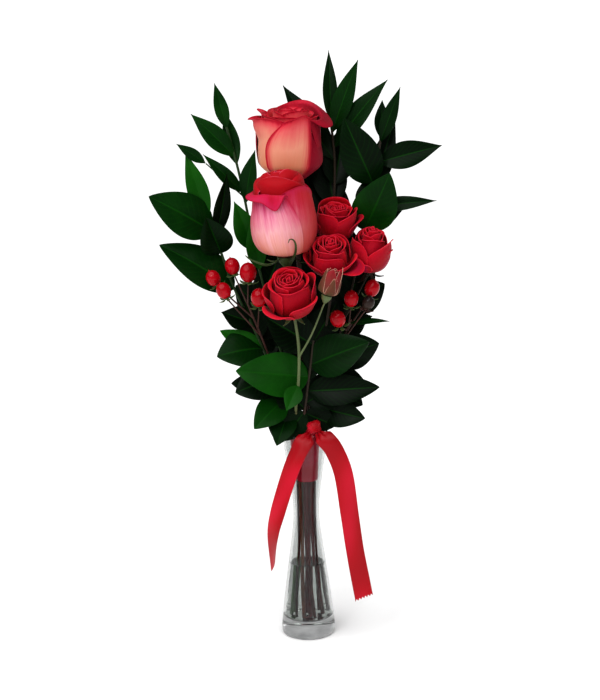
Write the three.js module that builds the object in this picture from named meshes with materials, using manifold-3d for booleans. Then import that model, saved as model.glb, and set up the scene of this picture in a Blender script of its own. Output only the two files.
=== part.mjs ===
// A hand-tied bunch of two large two-coloured roses, four small red spray roses with one bud, hypericum
// berries and glossy foliage, standing in a waisted glass bud vase with water and tied with satin ribbon.
// Units are millimetres. +Z is up, the front faces -Y, and the origin is the centre of the vase's underside.

import * as THREE from "three";
import { mergeVertices } from "three/addons/utils/BufferGeometryUtils.js";
import Module from "manifold-3d";

const wasm = await Module();
wasm.setup();

// ---------------------------------------------------------------- driving dimensions

const GAP = 0.3; // clearance between pieces that touch

const VASE = { height: 208, wall: 2.4, floor: 17, waterLevel: 73, segments: 32 };
const VASE_PROFILE = [
  // height and outer radius, from the heel over the narrow waist to the flared mouth
  [0, 25.2],
  [2.5, 26.6],
  [12, 26.2],
  [32, 23.9],
  [60, 20.4],
  [92, 16.0],
  [112, 13.5],
  [125, 12.9],
  [140, 13.7],
  [160, 16.2],
  [186, 20.0],
  [208, 22.6],
];

const STEM_FOOT = 19; // height of the cut stem ends above the table
const BUNDLE = { waist: 125, radius: 9.7, spreadBelow: 0.7, spreadAbove: 0.5, twist: 0.5, lean: 4 };
const BUNDLE_LEVELS = [50, 85, 125, 165, 198, 214];

const ROSE = { radius: 27.5, height: 78, stem: 2.6, hipRadius: 8.5, hipHeight: 11, petalGap: 0.9 };
const SPRAY = { stem: 2.0, twig: 1.3, hipRadius: 5, hipHeight: 7 };
const BERRY = { width: 14, height: 17, stem: 1.2, twig: 0.8 };
const LEAF = { thickness: 0.8, petiole: 1.2, rows: 5, stem: 1.4, twig: 0.7 };
const RIBBON = { width: 18, thickness: 0.8, band: 1.1 };

// ---------------------------------------------------------------- materials

const finish = (color, roughness, extra = {}) => ({ color, roughness, metalness: 0, ...extra });
const FINISH = {
  glass: finish(0xeef4f4, 0.05, { transparent: true, opacity: 0.35 }),
  water: finish(0xe3ece8, 0.03, { transparent: true, opacity: 0.4 }),
  ribbon: finish(0xc80a1c, 0.35),
  roseStem: finish(0x4b3327, 0.6),
  spray: finish(0x6e7855, 0.6),
  woody: finish(0x3a241e, 0.7),
  foliageStem: finish(0x2f4a24, 0.6),
  leaf: finish(0x123a17, 0.35),
  roseCore: finish(0xc2223c, 0.6),
  rosePetal: finish(0xe08c80, 0.55),
  sprayPetal: finish(0xb40a20, 0.55),
  berry: finish(0xb80a26, 0.2),
  spentBerry: finish(0x3a1a1c, 0.5),
};

// ---------------------------------------------------------------- small helpers

const vec = (x, y, z) => new THREE.Vector3(x, y, z);
const at = (point) => new THREE.Vector3(...point);
const model = new THREE.Group();

function place(name, geometry, look) {
  const mesh = new THREE.Mesh(geometry, new THREE.MeshStandardMaterial(look));
  mesh.name = name;
  model.add(mesh);
}

function signedVolume(geometry) {
  const position = geometry.getAttribute("position");
  const index = geometry.getIndex();
  const corner = (n) => new THREE.Vector3().fromBufferAttribute(position, index.getX(n));
  let volume = 0;
  for (let n = 0; n < index.count; n += 3) {
    volume += corner(n).dot(corner(n + 1).cross(corner(n + 2))) / 6;
  }
  return volume;
}

// Only positions are kept, shared corners are merged, and the faces are turned to point out.
function closed(geometry) {
  geometry.deleteAttribute("normal");
  geometry.deleteAttribute("uv");
  const merged = mergeVertices(geometry, 1e-4);
  const corners = Array.from(merged.getIndex().array);
  const kept = [];
  for (let n = 0; n < corners.length; n += 3) {
    const [a, b, c] = corners.slice(n, n + 3);
    if (a !== b && b !== c && c !== a) kept.push(a, b, c);
  }
  merged.setIndex(kept);
  if (signedVolume(merged) < 0) merged.setIndex(kept.reverse());
  return merged;
}

function toSolid(geometry) {
  const mesh = closed(geometry);
  const vertProperties = new Float32Array(mesh.getAttribute("position").array);
  const triVerts = new Uint32Array(mesh.getIndex().array);
  return new wasm.Manifold(new wasm.Mesh({ numProp: 3, vertProperties, triVerts }));
}

function fromSolid(solid) {
  const mesh = solid.getMesh();
  const geometry = new THREE.BufferGeometry();
  geometry.setAttribute("position", new THREE.BufferAttribute(new Float32Array(mesh.vertProperties), 3));
  geometry.setIndex(new THREE.BufferAttribute(new Uint32Array(mesh.triVerts), 1));
  return geometry;
}

const joined = (geometries) => fromSolid(geometries.map(toSolid).reduce((whole, next) => whole.add(next)));

function cutBy(geometry, cutters) {
  return fromSolid(cutters.map(toSolid).reduce((rest, cutter) => rest.subtract(cutter), toSolid(geometry)));
}

// A closed thin sheet over a grid: surface(u, v) gives a point and the direction of the sheet's thickness.
function sheetGeometry(surface, rows, columns, thickness) {
  const positions = [];
  const indices = [];
  const layer = (rows + 1) * (columns + 1);
  for (const side of [0.5, -0.5]) {
    for (let i = 0; i <= rows; i += 1) {
      for (let j = 0; j <= columns; j += 1) {
        const { point, normal } = surface(i / rows, j / columns);
        positions.push(...point.clone().addScaledVector(normal, side * thickness).toArray());
      }
    }
  }
  const node = (i, j) => i * (columns + 1) + j;
  const quad = (a, b, c, d) => indices.push(a, b, c, a, c, d);
  for (let i = 0; i < rows; i += 1) {
    for (let j = 0; j < columns; j += 1) {
      const [a, b, c, d] = [node(i, j), node(i + 1, j), node(i + 1, j + 1), node(i, j + 1)];
      quad(a, b, c, d);
      quad(a + layer, d + layer, c + layer, b + layer);
    }
  }
  const rim = [];
  for (let j = 0; j < columns; j += 1) rim.push(node(0, j));
  for (let i = 0; i < rows; i += 1) rim.push(node(i, columns));
  for (let j = columns; j > 0; j -= 1) rim.push(node(rows, j));
  for (let i = rows; i > 0; i -= 1) rim.push(node(i, 0));
  rim.forEach((here, n) => {
    const next = rim[(n + 1) % rim.length];
    quad(here, next, next + layer, here + layer);
  });
  const geometry = new THREE.BufferGeometry();
  geometry.setAttribute("position", new THREE.Float32BufferAttribute(positions, 3));
  geometry.setIndex(indices);
  return closed(geometry);
}

function lathe(profile, segments) {
  const points = profile.map(([height, radius]) => new THREE.Vector2(radius, height));
  const geometry = new THREE.LatheGeometry(points, segments);
  geometry.rotateX(Math.PI / 2);
  return geometry;
}

function smoothPath(points) {
  return new THREE.CatmullRomCurve3(points, false, "catmullrom", 0.5);
}

function tube(path, radius, steps, sides = 6) {
  const section = new THREE.Shape();
  for (let n = 0; n < sides; n += 1) {
    const angle = (2 * Math.PI * n) / sides;
    const [x, y] = [radius * Math.cos(angle), radius * Math.sin(angle)];
    if (n === 0) section.moveTo(x, y);
    else section.lineTo(x, y);
  }
  return new THREE.ExtrudeGeometry(section, { steps, extrudePath: path, bevelEnabled: false });
}

// Turns a geometry made around +Z so that it stands on a point along a direction.
function stand(geometry, foot, direction) {
  const turn = new THREE.Quaternion().setFromUnitVectors(vec(0, 0, 1), direction.clone().normalize());
  return geometry.applyQuaternion(turn).translate(foot.x, foot.y, foot.z);
}

// ---------------------------------------------------------------- vase and water

const outerWall = new THREE.SplineCurve(VASE_PROFILE.map(([height, radius]) => new THREE.Vector2(radius, height)));

function vaseRadius(height) {
  const points = outerWall.getPoints(120);
  const above = points.findIndex((point) => point.y >= height);
  if (above <= 0) return points.at(above).x;
  const [low, high] = [points[above - 1], points[above]];
  return low.x + ((height - low.y) / (high.y - low.y)) * (high.x - low.x);
}

function innerProfile(bottom, top, inset, count) {
  const profile = [];
  for (let n = 0; n <= count; n += 1) {
    const height = bottom + ((top - bottom) * n) / count;
    profile.push([height, vaseRadius(height) - VASE.wall - inset]);
  }
  return profile;
}

function vaseGeometry() {
  const inner = innerProfile(VASE.floor + 3, VASE.height, 0, 10).reverse();
  const floorEdge = vaseRadius(VASE.floor) - VASE.wall - 3;
  const profile = [[0, 0], ...VASE_PROFILE, ...inner, [VASE.floor, floorEdge], [VASE.floor, 0]];
  return closed(lathe(profile, VASE.segments));
}

function waterGeometry(stems) {
  const bottom = VASE.floor + GAP;
  const wall = innerProfile(VASE.floor + 3, VASE.waterLevel, GAP, 4);
  const floorEdge = vaseRadius(VASE.floor) - VASE.wall - 3.2 - GAP;
  const body = lathe([[bottom, 0], [bottom, floorEdge], ...wall, [VASE.waterLevel, 0]], VASE.segments);
  return cutBy(body, stems.map((stem) => tube(stem.path, stem.radius + GAP + 0.1, stem.steps, stem.sides)));
}

// ---------------------------------------------------------------- stems

// Inside the vase every stem keeps its slot in one bundle, which is narrow at the waist, turns below it and
// leans to the front above it.
function bundlePoint([x, y], height) {
  const rise = (height - BUNDLE.waist) / 100;
  const spread = 1 + (rise < 0 ? BUNDLE.spreadBelow : BUNDLE.spreadAbove) * rise * rise;
  const turn = rise < 0 ? -BUNDLE.twist * rise : 0;
  const lean = rise > 0 ? BUNDLE.lean * rise : 0;
  return vec(
    spread * (x * Math.cos(turn) - y * Math.sin(turn)),
    spread * (x * Math.sin(turn) + y * Math.cos(turn)) - lean,
    height,
  );
}

function makeStem({ slot, foot = 0, radius, sides = 6, route }) {
  const inside = [STEM_FOOT + foot, ...BUNDLE_LEVELS].map((height) => bundlePoint(slot, height));
  const path = smoothPath([...inside, ...route.map(at)]);
  const steps = Math.round(path.getLength() / 24);
  return { path, radius, steps, sides, samples: path.getPoints(300) };
}

// The point of a stem's centre line at a height; every stem only rises.
function stemPoint(stem, height) {
  const above = stem.samples.findIndex((point) => point.z >= height);
  if (above < 0) return stem.samples.at(-1).clone();
  const [low, high] = [stem.samples[above - 1], stem.samples[above]];
  return low.clone().lerp(high, (height - low.z) / (high.z - low.z));
}

const stemTube = (stem) => tube(stem.path, stem.radius, stem.steps, stem.sides);

function twig(from, to, radius, sag = 0) {
  const middle = from.clone().lerp(to, 0.5).add(vec(0, 0, -sag));
  return tube(smoothPath([from, middle, to]), radius, 4);
}

// ---------------------------------------------------------------- leaves

const LEAF_SHAPES = {
  lance: (t) => Math.sin(Math.PI * t ** 0.8) ** 1.1,
  broad: (t) => Math.sin(Math.PI * t ** 0.75) ** 0.8,
};

// A leaf arches from its base to its tip, with its upper side towards `face` and its halves folded up.
function leafGeometry(leaf) {
  const { base, tip, width, face = [0, -1, 0.3], bend = 0.08, fold = 0.25, shape = "lance" } = leaf;
  const { rows = LEAF.rows, columns = 2 } = leaf;
  const along = tip.clone().sub(base);
  const upper = at(face).projectOnPlane(along.clone().normalize()).normalize();
  const middle = base.clone().lerp(tip, 0.5).addScaledVector(upper, bend * along.length());
  const rib = new THREE.QuadraticBezierCurve3(base, middle, tip);
  const surface = (u, v) => {
    const tangent = rib.getTangent(u);
    const side = tangent.clone().cross(upper).normalize();
    const normal = side.clone().cross(tangent);
    const half = Math.max(LEAF.petiole / 2, (width / 2) * LEAF_SHAPES[shape](u));
    const across = (v - 0.5) * 2 * half;
    const point = rib.getPoint(u).addScaledVector(side, across).addScaledVector(normal, Math.abs(across) * fold);
    return { point, normal };
  };
  return sheetGeometry(surface, rows, columns, LEAF.thickness);
}

// A leaf of its own stands just clear of its stem; a joined leaf grows out of the stem's centre line.
function leafOn(stem, leaf) {
  const root = leaf.base ? at(leaf.base) : stemPoint(stem, leaf.at);
  const tip = at(leaf.tip);
  if (leaf.joined) return leafGeometry({ ...leaf, base: root, tip });
  const tangent = stemPoint(stem, leaf.at + 4).sub(stemPoint(stem, leaf.at - 4)).normalize();
  const out = tip.clone().sub(root).projectOnPlane(tangent).normalize();
  const base = root.addScaledVector(out, stem.radius + GAP + LEAF.petiole * 0.46);
  return leafGeometry({ ...leaf, base, tip });
}

const joinedLeaves = (stem, leaves) => leaves.filter((leaf) => leaf.joined).map((leaf) => leafOn(stem, leaf));

function placeLeaves(name, stem, leaves) {
  leaves.filter((leaf) => !leaf.joined).forEach((leaf, n) => {
    place(`${name}_leaf_${n + 1}`, leafOn(stem, leaf), FINISH.leaf);
  });
}

// ---------------------------------------------------------------- blooms

// Radius of a rose's outside, as a share of its widest radius, from its base (0) to its rim (1).
const cupShare = (v) => 0.4 + 0.6 * Math.sin((Math.PI / 2) * Math.min(1, v * 1.9)) - 0.12 * v * v;

function bloomGeometry({ foot, axis, radius, height, lobes = 5, dip = 0.12 }) {
  const profile = [[0, 0]];
  for (let n = 0; n <= 5; n += 1) profile.push([(height * n) / 5, radius * cupShare(n / 5)]);
  profile.push([height * (1 - dip * 0.5), radius * 0.7]);
  profile.push([height * (1 - dip), radius * 0.45]);
  profile.push([height * (1 - dip * 0.3), radius * 0.22]);
  profile.push([height * (1 - dip * 0.3), 0]);
  const geometry = closed(lathe(profile, 16));
  const position = geometry.getAttribute("position");
  for (let n = 0; n < position.count; n += 1) {
    const [x, y, z] = [position.getX(n), position.getY(n), position.getZ(n)];
    const swell = 1 + 0.05 * (z / height) * Math.cos(lobes * Math.atan2(y, x) + (4 * z) / height);
    position.setXY(n, x * swell, y * swell);
  }
  return stand(geometry, foot, axis);
}

// One outer petal: a shell round the bloom over a span of degrees, with its rim rolled outwards.
function petalGeometry({ foot, axis, radius, height, heading, span, reach, roll }) {
  const surface = (u, v) => {
    const narrow = Math.sin((Math.PI / 2) * Math.min(1, 0.45 + u));
    const angle = THREE.MathUtils.degToRad(heading + (v - 0.5) * span * narrow);
    const curl = Math.max(0, u - 0.75) / 0.25;
    const rise = 0.03 + (reach - 0.03) * u;
    const away = radius * cupShare(rise) * (1 + 0.09 * rise) + ROSE.petalGap + roll * curl * curl;
    const point = vec(away * Math.cos(angle), away * Math.sin(angle), height * rise);
    return { point, normal: vec(Math.cos(angle), Math.sin(angle), 0) };
  };
  return stand(sheetGeometry(surface, 5, 5, 1.0), foot, axis);
}

// The green swelling under a bloom, a little below the bloom's foot.
function hipGeometry(foot, axis, radius, height) {
  const low = -height - GAP;
  const profile = [[low, 0], [low, radius * 0.4], [low + height * 0.4, radius * 0.85], [-GAP, radius], [-GAP, 0]];
  return stand(lathe(profile, 8), foot, axis);
}

function sepals(foot, axis, radius, length, count, droop) {
  const leaves = [];
  const out = vec(1, 0, 0).projectOnPlane(axis).normalize();
  for (let n = 0; n < count; n += 1) {
    const heading = out.clone().applyAxisAngle(axis, (2 * Math.PI * (n + 0.4)) / count);
    const base = foot.clone().addScaledVector(axis, -GAP - 1.6).addScaledVector(heading, radius * 0.6);
    const tip = base.clone().addScaledVector(heading, length * Math.cos(droop));
    tip.addScaledVector(axis, -length * Math.sin(droop));
    const shape = { width: length * 0.28, bend: 0.1, fold: 0, rows: 3, columns: 1 };
    leaves.push(leafGeometry({ base, tip, face: axis.toArray(), ...shape }));
  }
  return leaves;
}

// ---------------------------------------------------------------- roses

const ROSES = [
  {
    name: "rose_upper",
    slot: [1.6, 2.4],
    route: [[3, 3, 240], [3, 6, 300], [-2, 12, 370]],
    foot: [-8, 15, 443],
    axis: [0.02, -0.16, 1],
    sepal: { length: 16, droop: 0.9 },
    petals: [
      { heading: -60, span: 110, reach: 0.94, roll: 2 },
      { heading: -168, span: 100, reach: 0.9, roll: 4 },
      { heading: 55, span: 115, reach: 0.97, roll: 3 },
    ],
  },
  {
    name: "rose_lower",
    slot: [-0.2, -3.2],
    route: [[1, -10, 240], [0, -13, 280], [-6, -19, 325]],
    foot: [-15.5, -32, 385],
    axis: [-0.03, -0.13, 1],
    sepal: { length: 20, droop: 0.35 },
    petals: [
      { heading: -150, span: 114, reach: 0.74, roll: 5 },
      { heading: -45, span: 84, reach: 0.83, roll: 3 },
      { heading: 74, span: 120, reach: 0.76, roll: 4 },
    ],
  },
];

function addRose({ name, slot, route, foot, axis, sepal, petals }) {
  const up = at(axis).normalize();
  const head = at(foot);
  const neck = head.clone().addScaledVector(up, -ROSE.hipHeight * 0.8);
  const stem = makeStem({ slot, radius: ROSE.stem, sides: 8, route: [...route, neck.toArray()] });
  const hip = hipGeometry(head, up, ROSE.hipRadius, ROSE.hipHeight);
  const green = sepals(head, up, ROSE.hipRadius, sepal.length, 5, sepal.droop);
  place(`${name}_stem`, joined([stemTube(stem), hip, ...green]), FINISH.roseStem);
  const bloom = { foot: head, axis: up, radius: ROSE.radius, height: ROSE.height };
  place(`${name}_bloom`, bloomGeometry(bloom), FINISH.roseCore);
  petals.forEach((petal, n) => {
    place(`${name}_outer_petal_${n + 1}`, petalGeometry({ ...bloom, ...petal }), FINISH.rosePetal);
  });
  return stem;
}

// ---------------------------------------------------------------- spray roses

const SPRAYS = [
  {
    name: "spray_rose_front",
    slot: [-5.1, -4.6],
    route: [[-8, -19, 236], [-5, -33, 264], [-4, -39, 300]],
    blooms: [{ name: "spray_rose_a", foot: [-9, -46, 338], axis: [-0.1, -0.62, 0.78], radius: 23, height: 27 }],
    bud: { foot: [22, -62, 351], axis: [0.3, 0, 0.95], radius: 10, height: 27, from: 290 },
    leaves: [{ at: 262, tip: [-17, -46, 240], width: 16, joined: true }],
  },
  {
    name: "spray_rose_back",
    slot: [4.9, -3.8],
    route: [[12, -9, 245], [20, -15, 300], [27, -22, 345]],
    blooms: [
      { name: "spray_rose_b", foot: [30, -30, 371], axis: [-0.02, -0.6, 0.8], radius: 22, height: 26 },
      { name: "spray_rose_c", foot: [35, -4, 401], axis: [0.05, -0.3, 0.95], radius: 17, height: 27, from: 300 },
      { name: "spray_rose_d", foot: [68, -12, 372], axis: [0.1, -0.4, 0.9], radius: 18, height: 27, from: 290 },
    ],
    leaves: [],
  },
];

function addSpray({ name, slot, route, blooms, bud, leaves }) {
  const [main] = blooms;
  const end = at(main.foot).addScaledVector(at(main.axis).normalize(), -SPRAY.hipHeight * 0.8);
  const stem = makeStem({ slot, radius: SPRAY.stem, route: [...route, end.toArray()] });
  const green = [stemTube(stem), ...joinedLeaves(stem, leaves)];
  for (const bloom of [...blooms, ...(bud ? [bud] : [])]) {
    const axis = at(bloom.axis).normalize();
    const foot = at(bloom.foot);
    if (bloom.from) {
      const top = foot.clone().addScaledVector(axis, -SPRAY.hipHeight * 0.8);
      green.push(twig(stemPoint(stem, bloom.from), top, SPRAY.twig, 4));
    }
    green.push(hipGeometry(foot, axis, SPRAY.hipRadius, SPRAY.hipHeight));
    if (bloom !== bud) green.push(...sepals(foot, axis, SPRAY.hipRadius, 14, 5, 0.3));
  }
  place(`${name}_stem`, joined(green), FINISH.spray);
  for (const { name: bloomName, foot, axis, radius, height } of blooms) {
    const bloom = { foot: at(foot), axis: at(axis).normalize(), radius, height, lobes: 4 };
    place(`${bloomName}_bloom`, bloomGeometry(bloom), FINISH.sprayPetal);
  }
  if (bud) {
    const { radius, height } = bud;
    const profile = [[0, 0], [0, radius * 0.4], [height * 0.3, radius], [height * 0.6, radius * 0.8], [height, 0]];
    const shape = closed(lathe(profile, 12));
    place("spray_rose_bud", stand(shape, at(bud.foot), at(bud.axis)), FINISH.sprayPetal);
  }
  return stem;
}

// ---------------------------------------------------------------- hypericum

const HYPERICUM = [
  {
    name: "hypericum_left",
    slot: [-7.6, -1.8],
    route: [[-18, -9, 236], [-34, -14, 290], [-52, -20, 340]],
    berries: [[-83, -22, 364], [-73, -34, 353], [-65, -16, 374], [-50, -24, 369], [-40, -36, 347]],
    from: [324, 306, 332, 338, 314],
    leaves: [
      { at: 242, tip: [-48, -34, 220], width: 24, shape: "broad", face: [-0.2, -1, 0.3], bend: 0.1 },
      { at: 228, tip: [-27, -34, 203], width: 20, shape: "broad", face: [-0.1, -1, 0.3], bend: 0.14 },
    ],
  },
  {
    name: "hypericum_right",
    slot: [8.4, -0.6],
    route: [[18, -6, 236], [32, -14, 285], [46, -22, 322]],
    berries: [[66, -20, 351], [46, -30, 343], [33, -34, 325], [62, -30, 338]],
    from: [308, 316, 311, 300],
    spent: 3,
    leaves: [
      { at: 232, tip: [58, -26, 226], width: 24, shape: "broad", face: [0.3, -1, 0.2], bend: 0.12, joined: true },
      { at: 318, tip: [82, -26, 320], width: 7, face: [0, -0.6, 0.8], joined: true },
    ],
  },
];

function addHypericum({ name, slot, route, berries, from, spent, leaves }) {
  const stem = makeStem({ slot, radius: BERRY.stem, route });
  const wood = [stemTube(stem), ...joinedLeaves(stem, leaves)];
  placeLeaves(name, stem, leaves);
  berries.forEach((berry, n) => {
    const centre = at(berry);
    const root = stemPoint(stem, from[n]);
    const axis = centre.clone().sub(root).normalize().add(vec(0, 0, 0.6)).normalize();
    const size = n === spent ? 0.75 : 1;
    const foot = centre.clone().addScaledVector(axis, -BERRY.height * size * 0.5);
    wood.push(twig(root, foot.clone().addScaledVector(axis, -GAP - 1.5), BERRY.twig));
    wood.push(hipGeometry(foot, axis, 3.6, 2.6));
    const ball = new THREE.SphereGeometry(1, 8, 6).rotateX(Math.PI / 2);
    ball.scale((BERRY.width / 2) * size, (BERRY.width / 2) * size, (BERRY.height / 2) * size);
    const look = n === spent ? FINISH.spentBerry : FINISH.berry;
    place(`${name}_berry_${n + 1}`, closed(stand(ball, centre, axis)), look);
  });
  place(`${name}_stem`, joined(wood), FINISH.woody);
  return stem;
}

// ---------------------------------------------------------------- foliage

const FOLIAGE = [
  {
    name: "foliage_left_tall",
    slot: [-3.0, 6.0],
    route: [[-12, 6, 245], [-27, 6, 310], [-42, 8, 375], [-50, 11, 420], [-58, 14, 462], [-68, 16, 502]],
    twigs: [{ at: 436, to: [-88, 6, 469] }],
    leaves: [
      { at: 500, tip: [-78, 15, 543], width: 12 },
      { at: 474, tip: [-101, 12, 515], width: 17, bend: 0.12 },
      { at: 466, tip: [-70, 22, 518], width: 13, bend: -0.1 },
      { at: 384, tip: [-62, -6, 434], width: 19, bend: 0.1 },
      { at: 440, tip: [-90, 0, 478], width: 12, bend: 0.06, joined: true },
      { base: [-88, 6, 469], tip: [-115, 4, 488], width: 11, bend: 0.06, joined: true },
      { at: 366, tip: [-46, -8, 420], width: 15, joined: true },
      { at: 430, tip: [-41, 0, 481], width: 15, face: [-0.5, -1, 0], joined: true },
      { at: 325, tip: [-64, 18, 350], width: 30, shape: "broad", face: [-0.3, -1, 0.3], bend: 0, joined: true },
      { at: 290, tip: [-62, 22, 300], width: 34, shape: "broad", face: [0, -1, 0.2], bend: 0, joined: true },
      { at: 262, tip: [-50, 20, 246], width: 34, shape: "broad", face: [0, -1, 0.3], bend: 0, joined: true },
      { at: 240, tip: [-32, 16, 214], width: 26, shape: "broad", face: [0, -1, 0.3], bend: 0, joined: true },
      { at: 345, tip: [-16, 26, 392], width: 30, shape: "broad", face: [0, -1, 0.2], bend: 0, joined: true },
    ],
  },
  {
    name: "foliage_left_broad",
    slot: [-7.0, 2.6],
    route: [[-20, 0, 245], [-44, -4, 305], [-66, -4, 355], [-76, 0, 385], [-88, 4, 416]],
    leaves: [
      { at: 415, tip: [-107, 6, 480], width: 18 },
      { at: 398, tip: [-68, -2, 460], width: 14, face: [0.5, -1, 0.1] },
      { at: 405, tip: [-141, -14, 441], width: 34, shape: "broad", face: [-0.1, -0.9, 0.5] },
      { at: 350, tip: [-134, -4, 394], width: 34, shape: "broad", face: [-0.1, -0.7, 0.8] },
      { at: 384, tip: [-88, -16, 420], width: 26, shape: "broad", fold: 0.7 },
      { at: 292, tip: [-82, -20, 288], width: 36, shape: "broad", face: [-0.3, -0.8, 0.5], bend: 0.15 },
      { at: 318, tip: [-77, -14, 330], width: 18, joined: true },
      { at: 262, tip: [-66, -10, 250], width: 30, shape: "broad", face: [-0.2, -0.9, 0.4], joined: true },
    ],
  },
  {
    name: "foliage_right_tall",
    slot: [2.6, 7.2],
    route: [[9, 9, 245], [22, 16, 330], [31, 20, 410], [34, 21, 465], [31, 23, 504]],
    leaves: [
      { at: 503, tip: [30, 30, 571], width: 14 },
      { at: 494, tip: [57, 12, 562], width: 17, face: [-0.2, -1, 0.2] },
      { at: 480, tip: [84, 6, 543], width: 19, face: [-0.4, -1, 0.5] },
      { at: 390, tip: [-13, 46, 538], width: 24, face: [0.3, -1, 0], bend: -0.2, joined: true },
      { at: 425, tip: [24, 36, 494], width: 28, shape: "broad", face: [0, -1, 0.2], bend: -0.05, joined: true },
      { at: 350, tip: [8, 38, 415], width: 34, shape: "broad", face: [0, -1, 0.2], bend: -0.05, joined: true },
      { at: 270, tip: [58, 22, 296], width: 34, shape: "broad", face: [0, -1, 0.2], bend: 0, joined: true },
      { at: 245, tip: [42, 24, 220], width: 30, shape: "broad", face: [0, -1, 0.3], bend: 0, joined: true },
      { at: 262, tip: [-6, 32, 318], width: 36, shape: "broad", face: [0, -1, 0.1], bend: 0, joined: true },
    ],
  },
  {
    name: "foliage_right_broad",
    slot: [6.6, 3.6],
    route: [[20, 3, 245], [35, 2, 300], [50, 3, 355], [62, 6, 410], [72, 12, 455], [78, 18, 490]],
    leaves: [
      { at: 466, tip: [135, 10, 481], width: 21, face: [0.1, -0.8, 0.6] },
      { at: 402, tip: [84, -14, 458], width: 34, shape: "broad", face: [0.2, -1, 0.4] },
      { at: 446, tip: [43, 4, 508], width: 30, shape: "broad", face: [-0.1, -1, 0.1] },
      { at: 484, tip: [96, 10, 536], width: 14, joined: true },
      { at: 488, tip: [80, 26, 524], width: 11, joined: true },
      { at: 424, tip: [129, 0, 430], width: 12, face: [0, -0.7, 0.7], joined: true },
      { at: 436, tip: [93, 34, 507], width: 18, bend: -0.05, joined: true },
      { at: 410, tip: [99, 12, 422], width: 17, face: [0, -1, 0.3], joined: true },
      { at: 312, tip: [67, -8, 322], width: 16, joined: true },
      { at: 330, tip: [80, 10, 350], width: 28, shape: "broad", face: [0, -1, 0.3], bend: 0, joined: true },
      { at: 280, tip: [74, 8, 292], width: 30, shape: "broad", face: [0, -1, 0.3], bend: 0, joined: true },
      { at: 258, tip: [62, 6, 250], width: 26, shape: "broad", face: [0, -1, 0.3], bend: 0, joined: true },
    ],
  },
  {
    name: "foliage_low",
    slot: [-1.0, -8.0],
    route: [[0, -16, 228], [4, -18, 258], [8, -20, 285], [10, -20, 302]],
    leaves: [
      { at: 266, tip: [-64, -34, 277], width: 34, shape: "broad", face: [-0.1, -1, 0.25], bend: 0.1 },
      { at: 278, tip: [62, -38, 303], width: 32, shape: "broad", face: [0.1, -0.9, 0.4], bend: 0.1 },
      { at: 252, tip: [72, -28, 257], width: 24, shape: "broad", face: [0.1, -0.8, 0.6] },
      { at: 298, tip: [-34, -26, 326], width: 32, shape: "broad", face: [0, -1, 0.2], bend: 0.03, joined: true },
    ],
  },
];

function addFoliage({ name, slot, route, leaves, twigs = [] }) {
  const stem = makeStem({ slot, radius: LEAF.stem, route });
  const branches = twigs.map(({ at: height, to }) => twig(stemPoint(stem, height), at(to), LEAF.twig));
  place(`${name}_stem`, joined([stemTube(stem), ...branches, ...joinedLeaves(stem, leaves)]), FINISH.foliageStem);
  placeLeaves(name, stem, leaves);
  return stem;
}

// ---------------------------------------------------------------- ribbon

const RIBBON_BAND = { top: 218, bottom: 207, flap: 163, flapHeading: -62, flapSpan: 75, rings: 24, rows: 3 };
const RIBBON_KNOT = { centre: [9, -24.4, 218], size: [19, 11, 12] };
const RIBBON_TAILS = {
  ribbon_tail_left: {
    route: [[5.4, -25, 211.4], [-1, -30, 204], [-5, -31, 194], [-14, -31, 172], [-27, -31, 136], [-33, -31, 112], [-36, -31, 80]],
    turn: [0, 0, 0, 0.1, 0.15, 0.6, 1.3],
  },
  ribbon_tail_right: {
    route: [[12.6, -25, 211.4], [19, -30, 204], [25, -31, 194], [34, -31, 172], [41, -31, 130], [47, -31, 92], [55, -31, 45]],
    turn: [0, 0, 0, 0, -0.1, -0.1, 0],
  },
};

// The band is wound round the bundle above the mouth, and a flap of it hangs down inside the neck.
function bandGeometry() {
  const { top, bottom, flap, flapHeading, flapSpan, rings, rows } = RIBBON_BAND;
  const indices = [];
  const positions = [];
  const lowEdge = (degrees) => {
    const off = (degrees - flapHeading) / flapSpan;
    return bottom - (bottom - flap) * Math.sqrt(Math.max(0, 1 - off * off));
  };
  for (const side of [1, 0]) {
    for (let i = 0; i < rings; i += 1) {
      const degrees = (360 * i) / rings - 180;
      const angle = THREE.MathUtils.degToRad(degrees);
      for (let j = 0; j <= rows; j += 1) {
        const height = top + ((lowEdge(degrees) - top) * j) / rows;
        const centre = bundlePoint([0, 0], height);
        const edge = bundlePoint([BUNDLE.radius, 0], height).sub(centre).length();
        const reach = edge + RIBBON.band + side * RIBBON.thickness;
        centre.add(vec(reach * Math.cos(angle), reach * Math.sin(angle), 0));
        positions.push(...centre.toArray());
      }
    }
  }
  const node = (side, i, j) => (side * rings + (i % rings)) * (rows + 1) + j;
  const quad = (a, b, c, d) => indices.push(a, b, c, a, c, d);
  for (let i = 0; i < rings; i += 1) {
    for (let j = 0; j < rows; j += 1) {
      quad(node(0, i, j), node(0, i, j + 1), node(0, i + 1, j + 1), node(0, i + 1, j));
      quad(node(1, i, j), node(1, i + 1, j), node(1, i + 1, j + 1), node(1, i, j + 1));
    }
    quad(node(0, i, 0), node(0, i + 1, 0), node(1, i + 1, 0), node(1, i, 0));
    quad(node(0, i, rows), node(1, i, rows), node(1, i + 1, rows), node(0, i + 1, rows));
  }
  const geometry = new THREE.BufferGeometry();
  geometry.setAttribute("position", new THREE.Float32BufferAttribute(positions, 3));
  geometry.setIndex(indices);
  return closed(geometry);
}

function knotGeometry() {
  const { centre, size } = RIBBON_KNOT;
  const ball = new THREE.SphereGeometry(0.5, 10, 7);
  ball.scale(...size).translate(...centre);
  return closed(ball);
}

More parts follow.
